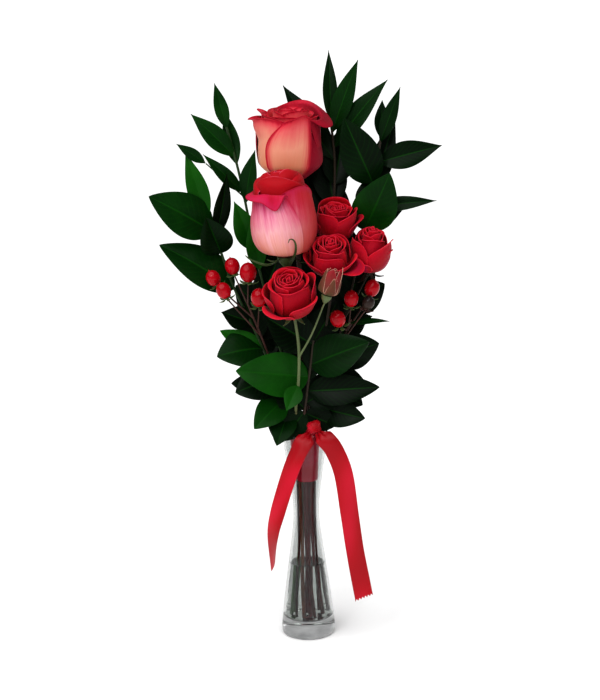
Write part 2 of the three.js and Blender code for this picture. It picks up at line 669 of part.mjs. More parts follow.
function tailGeometry({ route, turn }) {
  const path = smoothPath(route.map(at));
  const surface = (u, v) => {
    const along = u * (turn.length - 1);
    const k = Math.min(turn.length - 2, Math.floor(along));
    const angle = THREE.MathUtils.lerp(turn[k], turn[k + 1], along - k);
    const tangent = path.getTangent(u);
    const across = vec(Math.cos(angle), -Math.sin(angle), 0).projectOnPlane(tangent).normalize();
    const normal = tangent.clone().cross(across);
    const half = RIBBON.width * (0.17 + 0.33 * THREE.MathUtils.smoothstep(u, 0, 0.12));
    return { point: path.getPoint(u).addScaledVector(across, (v - 0.5) * 2 * half), normal };
  };
  return sheetGeometry(surface, 13, 1, RIBBON.thickness);
}

// ---------------------------------------------------------------- assembly

place("vase", vaseGeometry(), FINISH.glass);
const stems = [
  ...ROSES.map(addRose),
  ...SPRAYS.map(addSpray),
  ...HYPERICUM.map(addHypericum),
  ...FOLIAGE.map(addFoliage),
];
place("water", waterGeometry(stems), FINISH.water);
place("ribbon_band", bandGeometry(), FINISH.ribbon);
place("ribbon_knot", knotGeometry(), FINISH.ribbon);
for (const [name, tail] of Object.entries(RIBBON_TAILS)) place(name, tailGeometry(tail), FINISH.ribbon);

export default model;
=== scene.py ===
"""A hand-tied bunch of roses, spray roses, hypericum and foliage in a waisted glass bud vase.

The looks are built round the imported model. Lengths are in millimetres until a mesh is made, and Blender gets
metres.
"""

import math

import bpy
import numpy as np
from mathutils import Matrix, Vector


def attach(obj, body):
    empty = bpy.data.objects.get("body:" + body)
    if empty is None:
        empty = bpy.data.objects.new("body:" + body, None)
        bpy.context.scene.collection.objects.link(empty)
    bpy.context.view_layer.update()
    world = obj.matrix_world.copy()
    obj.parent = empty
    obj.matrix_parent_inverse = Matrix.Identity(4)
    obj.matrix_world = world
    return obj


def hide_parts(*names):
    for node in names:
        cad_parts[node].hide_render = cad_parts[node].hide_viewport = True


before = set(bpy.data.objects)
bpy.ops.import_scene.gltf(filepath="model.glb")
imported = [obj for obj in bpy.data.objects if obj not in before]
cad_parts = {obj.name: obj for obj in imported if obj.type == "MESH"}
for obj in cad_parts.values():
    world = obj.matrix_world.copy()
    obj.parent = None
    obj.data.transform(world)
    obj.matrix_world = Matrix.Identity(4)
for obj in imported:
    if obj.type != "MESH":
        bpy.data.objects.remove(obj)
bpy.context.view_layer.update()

MM = 0.001
TURN = 6.28  # a full turn in radians, as far as a random heading or phase needs it
FIFTH = 1.2566  # a fifth of a turn, between neighbouring sepals
QUARTER = math.pi / 2
rng = np.random.default_rng(7)


def add_object(name, data):
    thing = bpy.data.objects.new(name, data)
    bpy.context.scene.collection.objects.link(thing)
    return thing


# ---- camera

CAMERA_PLACE = (-2.9, -1300.0, 565.0)
CAMERA_PITCH = 12.0  # degrees below level
CAMERA_ROLL = 1.2  # degrees, the top of the object leans to the left
CAMERA_LENS, CAMERA_SENSOR = 70.8, 36.0


def make_camera():
    data = bpy.data.cameras.new("camera")
    data.lens = CAMERA_LENS
    data.sensor_width = CAMERA_SENSOR
    camera = add_object("camera", data)
    turn = Matrix.Rotation(math.radians(90 - CAMERA_PITCH), 4, "X")
    roll = Matrix.Rotation(math.radians(-CAMERA_ROLL), 4, "Z")
    camera.matrix_world = Matrix.Translation(Vector(CAMERA_PLACE) * MM) @ turn @ roll
    bpy.context.scene.camera = camera


make_camera()

# ---- small maths


def unit(v):
    v = np.asarray(v, float)
    return v / max(1e-9, np.linalg.norm(v))


def smooth(low, high, x):
    t = np.clip((np.asarray(x, float) - low) / (high - low), 0, 1)
    return t * t * (3 - 2 * t)


def catmull(points, per_span=10):
    """Points along a uniform Catmull-Rom curve through the given points."""
    knots = [np.asarray(point, float) for point in points]
    knots = [2 * knots[0] - knots[1]] + knots + [2 * knots[-1] - knots[-2]]
    out = []
    for a, b, c, d in zip(knots, knots[1:], knots[2:], knots[3:]):
        for t in np.arange(per_span) / per_span:
            leave, arrive = 0.5 * (c - a), 0.5 * (d - b)
            out.append((2 * t**3 - 3 * t**2 + 1) * b + (t**3 - 2 * t**2 + t) * leave
                       + (3 * t**2 - 2 * t**3) * c + (t**3 - t**2) * arrive)
    out.append(knots[-2])
    return np.array(out)


def run_length(grid):
    """Distance along each column of a grid of points, from its first row."""
    steps = np.linalg.norm(np.diff(grid, axis=0), axis=2)
    return np.vstack([np.zeros((1, grid.shape[1])), np.cumsum(steps, axis=0)])


def resample(line, count):
    return np.interp(np.linspace(0, 1, count), np.linspace(0, 1, len(line)), line)


def spread(values, count):
    """Smooth values at `count` even places between the first and the last of a few even ones."""
    if np.ndim(values) == 0:
        return values
    return resample(catmull([[value, 0, 0] for value in values], 12)[:, 0], count)


def basis(axis):
    """Two directions square to an axis, the first as near +X as it can be, and the axis."""
    axis = unit(axis)
    first = unit(np.array([1.0, 0, 0]) - axis * axis[0])
    return first, np.cross(axis, first), axis


def circle(first, second, sides):
    """Unit vectors round a circle, and how far round each one is, from 0 to 1."""
    for n in range(sides):
        angle = 2 * math.pi * n / sides
        yield math.cos(angle) * first + math.sin(angle) * second, n / sides


# ---- mesh building

MID_TONE = 0.5
NO_RIM = 9  # the distance from a rim that a point of a tube or lathe counts as, mm
UV_PER_MM = 0.01  # along a tube


def bands(rings, sides):
    """Faces between rings of points; a ring of one point closes the surface."""
    for low, high in zip(rings, rings[1:]):
        for n in range(sides):
            m = (n + 1) % sides
            if len(low) == 1:
                yield low[0], high[m], high[n]
            elif len(high) == 1:
                yield low[n], low[m], high[0]
            else:
                yield low[n], low[m], high[m], high[n]


class Builder:
    """Collects closed surfaces and their per-point values, and makes one object of them."""

    def __init__(self):
        self.points, self.faces, self.uvs, self.values = [], [], [], []
        self.count = 0

    def add(self, points, faces, uv, values):
        points = np.asarray(points, float).reshape(-1, 3)
        self.points.append(points)
        self.faces.extend([tuple(int(i) + self.count for i in face) for face in faces])
        self.uvs.append(np.asarray(uv, float).reshape(-1, 2))
        self.values.append(np.broadcast_to(np.asarray(values, float), (len(points), 4)).copy())
        self.count += len(points)

    def sheet(self, grid, thickness, tone=MID_TONE, part=0.0, sides=True):
        """A closed sheet on a grid of points. tone and part: what its material reads, a number or one for
        each column. sides: whether its two side edges count as rim, as its far end does."""
        rows, columns = grid.shape[:2]
        size = rows * columns
        normal = np.cross(np.gradient(grid, axis=0), np.gradient(grid, axis=1))
        normal /= np.maximum(1e-9, np.linalg.norm(normal, axis=2, keepdims=True))
        top = (grid + normal * thickness / 2).reshape(-1, 3)
        low = (grid - normal * thickness / 2).reshape(-1, 3)
        up = run_length(grid)
        inward = up[-1:] - up
        if sides:
            side = run_length(grid.swapaxes(0, 1)).T
            inward = np.minimum(np.minimum(side, side[:, -1:] - side), inward)
        v = np.broadcast_to(np.linspace(0, 1, columns), (rows, columns))
        uv = np.stack([v, up / np.maximum(1e-9, up[-1:])], axis=2).reshape(-1, 2)
        faces = []
        for i in range(rows - 1):
            for a in range(i * columns, (i + 1) * columns - 1):
                b, c, d = a + columns, a + columns + 1, a + 1
                faces.append((a, b, c, d))
                faces.append((a + size, d + size, c + size, b + size))
        index = np.arange(size).reshape(rows, columns)
        rim = [*index[0, :-1], *index[:-1, -1], *index[-1, :0:-1], *index[:0:-1, 0]]
        for a, b in zip(rim, rim[1:] + rim[:1]):
            faces.append((a, b, b + size, a + size))
        values = np.zeros((2 * size, 4))
        values[:size, 0] = 1
        for k, value in enumerate((tone, part, inward), 1):
            values[:, k] = np.tile(np.broadcast_to(value, (rows, columns)).ravel(), 2)
        self.add(np.vstack([top, low]), faces, np.vstack([uv, uv]), values)

    def tube(self, path, radius, sides=14, tone=MID_TONE):
        """A closed round tube along a path; radius is a number or one for each point of the path."""
        path = np.asarray(path, float)
        radius = np.broadcast_to(np.asarray(radius, float), (len(path),))
        tangent = np.gradient(path, axis=0)
        tangent /= np.maximum(1e-9, np.linalg.norm(tangent, axis=1, keepdims=True))
        side = unit(np.cross(tangent[0], [0.31, 0.95, 0.12]))
        length = run_length(path[:, None])[:, 0]
        points, uv = [], []
        for p, t, r, up in zip(path, tangent, radius, length):
            side = unit(side - t * np.dot(side, t))
            for out, share in circle(side, np.cross(t, side), sides):
                points.append(p + r * out)
                uv.append((share, up * UV_PER_MM))
        rings = [range(k * sides, (k + 1) * sides) for k in range(len(path))]
        self.add(points, [*bands(rings, sides), rings[0][::-1], rings[-1]], uv, (0, tone, 0, NO_RIM))

    def lathe(self, profile, foot=(0, 0, 0), axis=(0, 0, 1), *, sides, lobes=0.0):
        """Turns (radius, height) pairs that start and end on the axis. lobes: how far three lobes stand out,
        as a share of the radius."""
        first, second, axis = basis(axis)
        foot = np.asarray(foot, float)
        points, uv, rings = [], [], []
        for k, (radius, height) in enumerate(profile):
            up = k / (len(profile) - 1)
            if radius < 1e-6:
                rings.append([len(points)])
                points.append(foot + axis * height)
                uv.append((0.5, up))
                continue
            rings.append(range(len(points), len(points) + sides))
            for out, share in circle(first, second, sides):
                reach = radius * (1 + lobes * math.cos(6 * math.pi * share))
                points.append(foot + axis * height + reach * out)
                uv.append((share, up))
        self.add(points, bands(rings, sides), uv, (0, MID_TONE, 0, NO_RIM))

    def make(self, name, material, replaces=(), sharp=50):
        mesh = bpy.data.meshes.new(name)
        points = np.vstack(self.points) * MM
        mesh.from_pydata(points.tolist(), [], self.faces)
        corners = np.empty(len(mesh.loops), dtype=np.int32)
        mesh.loops.foreach_get("vertex_index", corners)
        layer = mesh.uv_layers.new(name="UVMap")
        layer.data.foreach_set("uv", np.vstack(self.uvs)[corners].ravel())
        values = np.vstack(self.values)
        for k, label in enumerate(("face_side", "tone", "part", "rim")):
            mesh.attributes.new(label, "FLOAT", "POINT").data.foreach_set("value", values[:, k].copy())
        mesh.shade_smooth()
        mesh.set_sharp_from_angle(angle=math.radians(sharp))
        mesh.materials.append(MATERIALS[material])
        piece = add_object(name, mesh)
        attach(piece, "root")
        if replaces:
            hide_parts(*replaces)
        return piece


# ---- materials

VASE_PAINTED_LIGHT_HEIGHTS = 195.0, 245.0  # heights between which the painted light that a stem has inside the glass, a lighter and mostly redder colour, fades into its own
SOLID_GLASS = 11.0, 21.0  # heights between which the vase's solid foot turns into its wall, and its painted grey swirl fades out
PETAL_STREAKS, PETAL_VEINS = (20, 1.8), (70, 2.0)  # how many across and along a petal
RIBS, RIB_SLANT, MIDRIB = 11.0, -3.2, 14.0  # ribs along a leaf, how far they lean, how narrow the midrib is
WARP, WEFT, HEM = 380.0, 2400.0, 30.0  # turns of the satin's threads, in radians, and how narrow its hem is


def colour(shade):
    """A display colour, three numbers of 0 to 255, as the linear one that a shader takes."""
    return (*((c / 255 / 12.92) if c <= 10 else ((c / 255 + 0.055) / 1.055) ** 2.4 for c in shade), 1)


class Value:
    """A value that a material's node gives. Arithmetic on it adds Math nodes."""

    def __init__(self, paint, socket):
        self.paint = paint
        self.socket = socket

    def __add__(self, other):
        return self.paint.math("ADD", self, other)

    def __sub__(self, other):
        return self.paint.math("SUBTRACT", self, other)

    def __mul__(self, other):
        return self.paint.math("MULTIPLY", self, other)

    def __pow__(self, other):
        return self.paint.math("POWER", self, other)

    def __abs__(self):
        return self.paint.math("ABSOLUTE", self)


class Paint:
    """A node material: a Principled shader and short calls that add nodes before it."""

    def __init__(self, name, **sockets):
        self.material = bpy.data.materials.new(name)
        self.material.use_nodes = True
        self.tree = self.material.node_tree
        self.shader = self.tree.nodes["Principled BSDF"]
        for key, value in sockets.items():
            self.shader.inputs[key.replace("_", " ")].default_value = value

    def node(self, kind, inputs, out=0, **settings):
        node = self.tree.nodes.new("ShaderNode" + kind)
        for key, value in settings.items():
            setattr(node, key, value)
        for key, value in inputs.items():
            if isinstance(value, Value):
                self.tree.links.new(value.socket, node.inputs[key])
            else:
                node.inputs[key].default_value = value
        return Value(self, node.outputs[out])

    def math(self, operation, a, b=0.0, clamp=False):
        return self.node("Math", {0: a, 1: b}, operation=operation, use_clamp=clamp)

    def value(self, name):
        return self.node("Attribute", {}, out=2, attribute_name=name)

    def uv(self, across=1, along=1):
        """Places on a sheet, from 0 to 1 across it and along it, times these numbers."""
        vector = self.node("UVMap", {}, uv_map="UVMap")
        return self.node("Mapping", {"Vector": vector, "Scale": (across, along, 1)})

    def place(self, scale):
        """Places in space, in metres times one number or one for each axis."""
        scale = scale if np.ndim(scale) else (scale, scale, scale)
        return self.node("Mapping", {"Vector": self.node("TexCoord", {}, out=3), "Scale": scale})

    def noise(self, vector, detail=3, rough=0.5):
        return self.node("TexNoise", {"Vector": vector, "Scale": 1.0, "Detail": detail, "Roughness": rough})

    def grain(self, scale, detail=3, rough=0.5):
        return self.noise(self.place(scale), detail, rough)

    def split(self, vector, axis):
        return self.node("SeparateXYZ", {0: vector}, out=axis)

    def height(self):
        """Height above the table, mm."""
        return self.split(self.place(1000), 2)

    def rest(self, value):
        """1 less a value, and never below 0."""
        return self.math("SUBTRACT", 1.0, value, clamp=True)

    def from_middle(self, uv):
        """0 on a sheet's middle line, 1 on both its edges."""
        return abs(self.split(uv, 0) - 0.5) * 2.0

    def fade(self, distance, start, end):
        """1 up to `start` mm, 0 from `end` mm on."""
        limits = {"From Min": start, "From Max": end, "To Min": 1.0, "To Max": 0.0}
        return self.node("MapRange", {"Value": distance, **limits}, interpolation_type="SMOOTHSTEP")

    def ramp(self, factor, stops):
        """stops: position and display colour of each, as four numbers."""
        out = self.node("ValToRGB", {0: factor})
        ramp = out.socket.node.color_ramp
        while len(ramp.elements) < len(stops):
            ramp.elements.new(1)
        for element, (position, *shade) in zip(ramp.elements, stops):
            element.position = position
            element.color = colour(shade)
        return out

    def mix(self, factor, a, b, blend="MIX"):
        a, b = (side if isinstance(side, Value) else colour(side) for side in (a, b))
        return self.node("Mix", {0: factor, 6: a, 7: b}, out=2, data_type="RGBA", blend_type=blend)

    def set(self, **links):
        for key, value in links.items():
            self.tree.links.new(value.socket, self.shader.inputs[key.replace("_", " ")])

    def bump(self, height, strength, distance):
        self.set(Normal=self.node("Bump", {"Height": height, "Strength": strength, "Distance": distance}))


def petal_material(name, outside, inside, flush, rim, other, glow, border, streak, veins=0.2, cover=0.0):
    """outside and inside: ramps from base to tip. flush and rim: the colours of the wide and the narrow band
    along the edge. glow and border: how wide these are, in mm. other: the colour of a petal whose part value
    is 1, which also goes over its rim by `cover`."""
    paint = Paint(name, Roughness=0.55, Sheen_Weight=0.05, Sheen_Roughness=0.5, Subsurface_Weight=0.06,
                  Subsurface_Scale=0.003, Specular_IOR_Level=0.12)
    streaks = paint.noise(paint.uv(*PETAL_STREAKS), 5, 0.6) - 0.5
    clouds = paint.grain(45)
    part, from_rim = paint.value("part"), paint.value("rim")
    level = paint.split(paint.uv(), 1) + streaks * (streak * 2)
    level = level + (clouds - 0.5) * 0.25 + (paint.value("tone") - 0.5) * 0.5
    body = paint.mix(paint.value("face_side"), paint.ramp(level, outside), paint.ramp(level, inside))
    body = paint.mix(part, body, other)
    wide = paint.fade(from_rim + streaks * (glow * 1.3), 0.3, glow)
    narrow = paint.fade(from_rim + streaks * (border * 1.6), border * 0.2, border)
    body = paint.mix(narrow * 0.9, paint.mix(wide * 0.85, body, flush), rim)
    if cover:
        body = paint.mix(part * cover, body, other)
    fine = paint.noise(paint.uv(*PETAL_VEINS), 4, 0.7)
    paint.set(Base_Color=paint.mix(fine * veins, body, flush, "MULTIPLY"))
    paint.bump(fine + clouds * 1.5, 0.22, 0.0006)
    return paint.material


def leaf_material(name, deep, middle, bright, under, under_vein, roughness):
    paint = Paint(name, Roughness=roughness, Coat_Weight=0.03, Coat_Roughness=0.25, Specular_IOR_Level=0.08)
    uv = paint.uv()
    across = paint.from_middle(uv)
    patches = paint.grain(28, 4)
    tone = paint.value("tone") + (patches - 0.5) * 0.5
    upper = paint.ramp(tone, [(0.1, *deep), (0.55, *middle), (0.95, *bright)])
    slope = paint.split(uv, 1) * RIBS + across * RIB_SLANT
    ribs = paint.rest(abs(paint.math("SINE", slope * math.pi))) ** 5.0
    midrib = paint.rest(across * MIDRIB)
    lines = paint.math("MAXIMUM", ribs * 0.14, midrib * 0.5)
    lower = paint.mix(lines, under, under_vein)
    paint.set(Base_Color=paint.mix(paint.value("face_side"), lower, paint.mix(lines, upper, bright)))
    paint.bump(lines * -1.0 + paint.grain(900, 2) * 0.25, 0.5, 0.0005)
    paint.set(Roughness=patches * 0.25 + (roughness - 0.1) + lines * 0.15)
    return paint.material


def stem_material(name, low, high, speck, speckle=0.4, in_vase_painted_light=None):
    """Inside the vase the stem turns to the colour given last, which is painted light: lighter than the stem
    above, reddish for most stems, in place of how it looks lit through the glass.
    """
    paint = Paint(name, Roughness=0.5, Specular_IOR_Level=0.3)
    streaks = paint.grain((260, 260, 26), 5, 0.6)
    body = paint.ramp(paint.value("tone") + (streaks - 0.5) * 0.7, [(0.15, *low), (0.85, *high)])
    # painted light: below these heights the stem takes the lighter colour given for inside the glass
    if in_vase_painted_light:
        painted_vase_light = paint.mix(streaks * 0.8, in_vase_painted_light, body)
        body = paint.mix(paint.fade(paint.height(), *VASE_PAINTED_LIGHT_HEIGHTS), body, painted_vase_light)
    specks = paint.math("GREATER_THAN", paint.grain((700, 700, 500), 2), 0.66)
    paint.set(Base_Color=paint.mix(specks * speckle, body, speck))
    paint.bump(streaks, 0.4, 0.0004)
    return paint.material


def berry_material(name, shade, light, roughness):
    paint = Paint(name, Roughness=roughness, Coat_Weight=0.3, Coat_Roughness=0.08, Specular_IOR_Level=0.1)
    level = paint.split(paint.uv(), 1) * 0.7 + paint.grain(120, 4) * 0.5
    paint.set(Base_Color=paint.ramp(level, [(0.25, *light), (0.7, *shade), (1.0, *shade)]))
    paint.bump(paint.grain(420), 0.15, 0.0003)
    return paint.material


def satin_material(name, dark, middle, light):
    paint = Paint(name, Roughness=0.42, Sheen_Weight=0.05, Sheen_Roughness=0.3, Anisotropic=0.6,
                  Specular_IOR_Level=0.25)
    uv = paint.uv()
    # painted sheen and shade: a noise along the ribbon picks long light and dark bands from the three colours
    folds = paint.noise(paint.uv(0.5, 2.6), 0)
    body = paint.ramp(folds, [(0.3, *dark), (0.5, *middle), (0.7, *light)])
    hem = paint.from_middle(uv) ** HEM
    paint.set(Base_Color=paint.mix(hem * 0.3, body, (110, 0, 8)))
    warp = paint.math("SINE", paint.split(uv, 0) * WARP)
    weft = paint.math("SINE", paint.split(uv, 1) * WEFT)
    paint.bump(warp * 0.7 + weft * 0.3, 0.12, 0.0001)
    return paint.material


def glass_material():
    paint = Paint("clear_glass", Roughness=0.0, IOR=1.36, Transmission_Weight=1.0)
    # partly the tint of thick glass and partly painted reflection: a grey swirl in the solid foot
    swirl = paint.grain((60, 60, 160), 3, 0.6)
    foot_tint_and_painted_reflection = paint.ramp(swirl, [(0.3, 122, 123, 124), (0.55, 176, 177, 177), (0.7, 206, 207, 207)])
    base = paint.fade(paint.height(), *SOLID_GLASS)
    paint.set(Base_Color=paint.mix(base, (209, 211, 210), foot_tint_and_painted_reflection))
    paint.bump(paint.grain((30, 30, 12), 2), 0.06, 0.0006)
    return paint.material


def water_material():
    paint = Paint("water", Base_Color=colour((230, 235, 231)), Roughness=0.0, IOR=1.333,
                  Transmission_Weight=1.0)
    paint.bump(paint.grain((60, 60, 20), 1), 0.03, 0.0005)
    return paint.material


MATERIALS = {
    "rose_upper": petal_material(
        "petal_peach_crimson",
        [(0, 192, 114, 76), (0.3, 210, 136, 102), (0.6, 222, 152, 128), (0.85, 214, 100, 100),
         (1, 200, 44, 62)],
        [(0, 224, 130, 90), (0.5, 224, 112, 96), (0.82, 218, 84, 92), (1, 196, 36, 62)],
        (206, 42, 66), (170, 6, 40), (142, 0, 36), glow=11, border=4.6, streak=0.09, veins=0.15, cover=0.7),
    "rose_upper_heart": petal_material(
        "petal_rosy",
        [(0, 222, 130, 100), (0.6, 236, 128, 118), (1, 226, 84, 90)],
        [(0, 224, 130, 100), (0.5, 236, 112, 108), (1, 232, 84, 94)],
        (212, 46, 72), (184, 10, 44), (146, 0, 36), glow=5.5, border=2.2, streak=0.1, veins=0.12),
    # Painted light on the lower rose: the whitish band at mid height of the outside ramp is partly a painted
    # highlight, and the darker magenta towards the tip and along the rim is partly painted shade.
    "rose_lower": petal_material(
        "petal_pink_magenta",
        [(0, 210, 142, 108), (0.22, 232, 168, 146), (0.48, 242, 192, 196), (0.66, 230, 146, 172),
         (0.82, 200, 74, 120), (1, 178, 20, 74)],
        [(0, 150, 10, 30), (0.5, 160, 8, 36), (0.85, 190, 14, 62), (1, 200, 24, 84)],
        (190, 40, 86), (178, 8, 56), (192, 44, 46), glow=8.5, border=1.6, streak=0.26, veins=0.6, cover=0.1),
    # Painted highlight: the pink narrow band along the heart petals' edges stands for light on their folded
    # edges; the rest is the heart's own crimson.
    "rose_lower_heart": petal_material(
        "petal_crimson",
        [(0, 130, 2, 16), (0.6, 156, 0, 16), (1, 164, 2, 22)],
        [(0, 90, 0, 10), (0.5, 140, 0, 18), (1, 168, 8, 34)],
        (170, 4, 30), (214, 84, 104), (150, 0, 24), glow=5, border=1.2, streak=0.08, veins=0.1),
    # Painted light on the spray roses: the near-black base of the inside ramp is painted shade deep in the
    # bloom, and the lighter narrow band along each petal's edge is a painted highlight.
    "spray": petal_material(
        "petal_deep_red",
        [(0, 120, 6, 26), (0.5, 160, 4, 26), (1, 176, 10, 42)],
        [(0, 80, 0, 6), (0.45, 150, 0, 10), (0.85, 184, 2, 20), (1, 196, 14, 38)],
        (190, 6, 30), (206, 34, 62), (150, 4, 50), glow=5, border=1.1, streak=0.08, veins=0.12),
    "bud": petal_material(
        "petal_bud",
        [(0, 84, 76, 50), (0.45, 112, 52, 46), (1, 140, 34, 42)],
        [(0, 120, 6, 16), (1, 150, 8, 28)],
        (140, 62, 60), (206, 150, 136), (130, 10, 26), glow=2.2, border=0.7, streak=0.2),
    "sepal": petal_material(
        "sepal_blushed",
        [(0, 76, 78, 42), (0.5, 104, 60, 46), (1, 96, 66, 46)],
        [(0, 120, 20, 30), (1, 150, 60, 60)],
        (124, 70, 58), (204, 166, 144), (90, 90, 50), glow=2.6, border=0.8, streak=0.2),
    "leaf": leaf_material("leaf_glossy", (1, 16, 2), (5, 44, 5), (22, 84, 10), under=(34, 66, 24),
                          under_vein=(70, 104, 52), roughness=0.36),
    "rose_stem": stem_material("rose_stem", (44, 26, 22), (70, 52, 42), (28, 12, 14), in_vase_painted_light=(136, 26, 44)),
    "calyx": stem_material("calyx_green", (44, 66, 30), (92, 112, 66), (150, 156, 120), speckle=0.2),
    "spray_stem": stem_material("spray_stem", (70, 84, 50), (112, 124, 84), (84, 60, 46), in_vase_painted_light=(140, 44, 52)),
    "woody": stem_material("woody_twig", (46, 26, 24), (84, 52, 44), (30, 18, 16)),
    "green_stem": stem_material("green_stem", (24, 46, 20), (48, 76, 36), (60, 50, 34), in_vase_painted_light=(84, 136, 74)),
    "brown_stem": stem_material("brown_stem", (34, 30, 20), (58, 46, 34), (26, 16, 14), in_vase_painted_light=(112, 34, 42)),
    "berry": berry_material("berry_red", (150, 0, 18), (196, 4, 32), 0.25),
    "spent": berry_material("berry_spent", (34, 22, 22), (70, 56, 46), 0.5),
    "ribbon": satin_material("satin_ribbon", (142, 0, 14), (166, 0, 22), (194, 14, 46)),
    # painted light: a lighter copy of the ribbon's satin, for the band and the flap seen through the glass
    "ribbon_painted_lighter": satin_material("satin_painted_lighter", (196, 14, 46), (214, 30, 66), (228, 54, 92)),
    "glass": glass_material(),
    "water": water_material(),
}

# ---- vase and water

VASE_HEIGHT, VASE_WALL, VASE_FLOOR, WATER_LEVEL = 208.0, 2.4, 17.0, 73.0
VASE_PROFILE = [(0, 25.2), (2.5, 26.6), (12, 26.2), (32, 23.9), (60, 20.4), (92, 16.0), (112, 13.5),
                (125, 12.9), (140, 13.7), (160, 16.2), (186, 20.0), (208, 22.6)]  # height and outer radius
OUTER_WALL = catmull([(radius, height, 0) for height, radius in VASE_PROFILE], 12)
UNDERSIDE = [(0, 0.5), (14, 0.4), (21.5, 0.0), (23, 0.0)]  # radius and height, up to the heel
HEEL_REACH, HEEL_RADIUS, LIP_RADIUS, FILLET, DIMPLE = 24.0, 2.6, 1.2, 4.0, 0.25
WATER_GAP, MENISCUS = 0.12, 1.6


def vase_radius(height):
    return float(np.interp(height, OUTER_WALL[:, 1], OUTER_WALL[:, 0]))


def bore(height):
    return vase_radius(height) - VASE_WALL


def arc(radius, height, reach, rise, start, end, count):
    """Points round (radius, height) between two angles; reach and rise are the half axes."""
    angles = np.linspace(start, end, count)
    return [(radius + reach * math.cos(angle), height + rise * math.sin(angle)) for angle in angles]


def make_vase():
    heel = arc(HEEL_REACH, HEEL_RADIUS, HEEL_RADIUS, HEEL_RADIUS, -QUARTER, 0, 7)
    outer = [(vase_radius(h), h) for h in np.linspace(3, VASE_HEIGHT - LIP_RADIUS, 70)]
    lip_middle = vase_radius(VASE_HEIGHT) - VASE_WALL / 2
    lip = arc(lip_middle, VASE_HEIGHT - LIP_RADIUS, LIP_RADIUS, LIP_RADIUS, 0.2, math.pi - 0.2, 8)
    inner = [(bore(h), h) for h in np.linspace(VASE_HEIGHT - 1.4, VASE_FLOOR + FILLET, 66)]
    edge = bore(VASE_FLOOR)
    bowl = arc(edge - FILLET - 0.1, VASE_FLOOR + FILLET, FILLET, FILLET, -0.15, -QUARTER, 7)
    dimple = [(edge * share, VASE_FLOOR - DIMPLE * (1 - share)) for share in (0.6, 0.3, 0)]
    build = Builder()
    build.lathe(UNDERSIDE + heel[1:] + outer + lip + inner + bowl + dimple, sides=128)
    build.make("vase_glass", "glass", ["vase"], sharp=60)


def make_water():
    edge, low = bore(VASE_FLOOR), VASE_FLOOR + 0.1
    bowl = arc(edge - FILLET - 0.3, low + FILLET, FILLET + 0.1, FILLET, -QUARTER, -0.15, 7)
    side = [(bore(h) - WATER_GAP, h) for h in np.linspace(VASE_FLOOR + FILLET, WATER_LEVEL - 2, 30)]
    top = bore(WATER_LEVEL) - WATER_GAP
    meniscus = arc(top - MENISCUS, WATER_LEVEL + 1.2, MENISCUS, MENISCUS * 0.8, 0, -QUARTER, 6)
    build = Builder()
    build.lathe([(0, low), (edge * 0.5, low)] + bowl + side + meniscus + [(0, WATER_LEVEL - 0.1)], sides=96)
    build.make("water_body", "water", ["water"], sharp=40)


make_vase()
make_water()

# ---- stems

STEM_FOOT = 19.0
WAIST, SPREAD_BELOW, SPREAD_ABOVE, TWIST, LEAN = 125.0, 0.7, 0.5, 0.5, 4.0
BUNDLE_LEVELS = [50, 85, 125, 165, 198, 214]
BUNDLE_RADIUS = 9.7
STEM_TAPER, JOINT_SWELL, JOINT_LENGTH = 0.12, 0.14, 0.006  # shares of the radius, the radius and the length
ROSE_STEM, SPRAY_STEM, HYPERICUM_STEM, FOLIAGE_STEM = 2.6, 1.65, 1.2, 1.4  # radii
SPRAY_TWIG, BERRY_TWIG, FOLIAGE_TWIG = 0.95, 0.8, 0.7
THORNS, THORN_START, THORN_STEP = 7, 120, 28  # how many, the lowest one's height, and from one to the next
THORN_LENGTH, THORN_RADII = 2.6, [1.1, 0.8, 0.5, 0.25, 0.06]


def bundle_point(slot, height):
    """Every stem keeps its slot in the bundle, which is narrow at the waist."""
    rise = (height - WAIST) / 100
    spread = 1 + (SPREAD_BELOW if rise < 0 else SPREAD_ABOVE) * rise * rise
    turn = -TWIST * rise if rise < 0 else 0.0
    lean = LEAN * rise if rise > 0 else 0.0
    x, y = slot
    return [spread * (x * math.cos(turn) - y * math.sin(turn)),
            spread * (x * math.sin(turn) + y * math.cos(turn)) - lean, height]


def stem_path(slot, route):
    inside = [bundle_point(slot, height) for height in [STEM_FOOT] + BUNDLE_LEVELS]
    return catmull(inside + route, 9)


def point_at(path, height):
    return np.array([np.interp(height, path[:, 2], path[:, k]) for k in range(3)])


def stem(build, path, radius, nodes=5, tone=MID_TONE):
    """A stem that thins a little upwards, with swollen joints."""
    share = np.linspace(0, 1, len(path))
    width = radius * (1 - STEM_TAPER * share)
    for k in range(nodes):
        middle = (k + 0.35 + 0.3 * rng.random()) / nodes
        width = width + radius * JOINT_SWELL * np.exp(-((share - middle) / JOINT_LENGTH) ** 2)
    build.tube(path, width, tone=tone)


def twig(build, start, end, radius, sag=0.0):
    middle = (np.asarray(start) + np.asarray(end)) / 2 + np.array([0, 0, -sag])
    path = catmull([start, middle, end], 8)
    build.tube(path, radius * (1.15 - 0.3 * np.linspace(0, 1, len(path))), sides=10)


def thorns(build, path, radius):
    for k in range(THORNS):
        centre = point_at(path, THORN_START + THORN_STEP * k + rng.uniform(-6, 6))
        heading = rng.uniform(0, TURN)
        out = np.array([math.cos(heading), math.sin(heading), -0.35])
        base = centre + out * radius * 0.6
        shares = np.linspace(0, 1, len(THORN_RADII))
        trail = [base + unit(out) * THORN_LENGTH * t + np.array([0, 0, -0.9 * t * t]) for t in shares]
        build.tube(trail, THORN_RADII, sides=8, tone=0.2)


# ---- leaves

LEAF_THICKNESS, LEAF_FULLNESS = 0.4, 1.12
LEAF_SHAPES = {
    "lance": lambda t: np.sin(math.pi * t**0.8) ** 1.1,
    "broad": lambda t: np.sin(math.pi * t**0.75) ** 0.8,
}


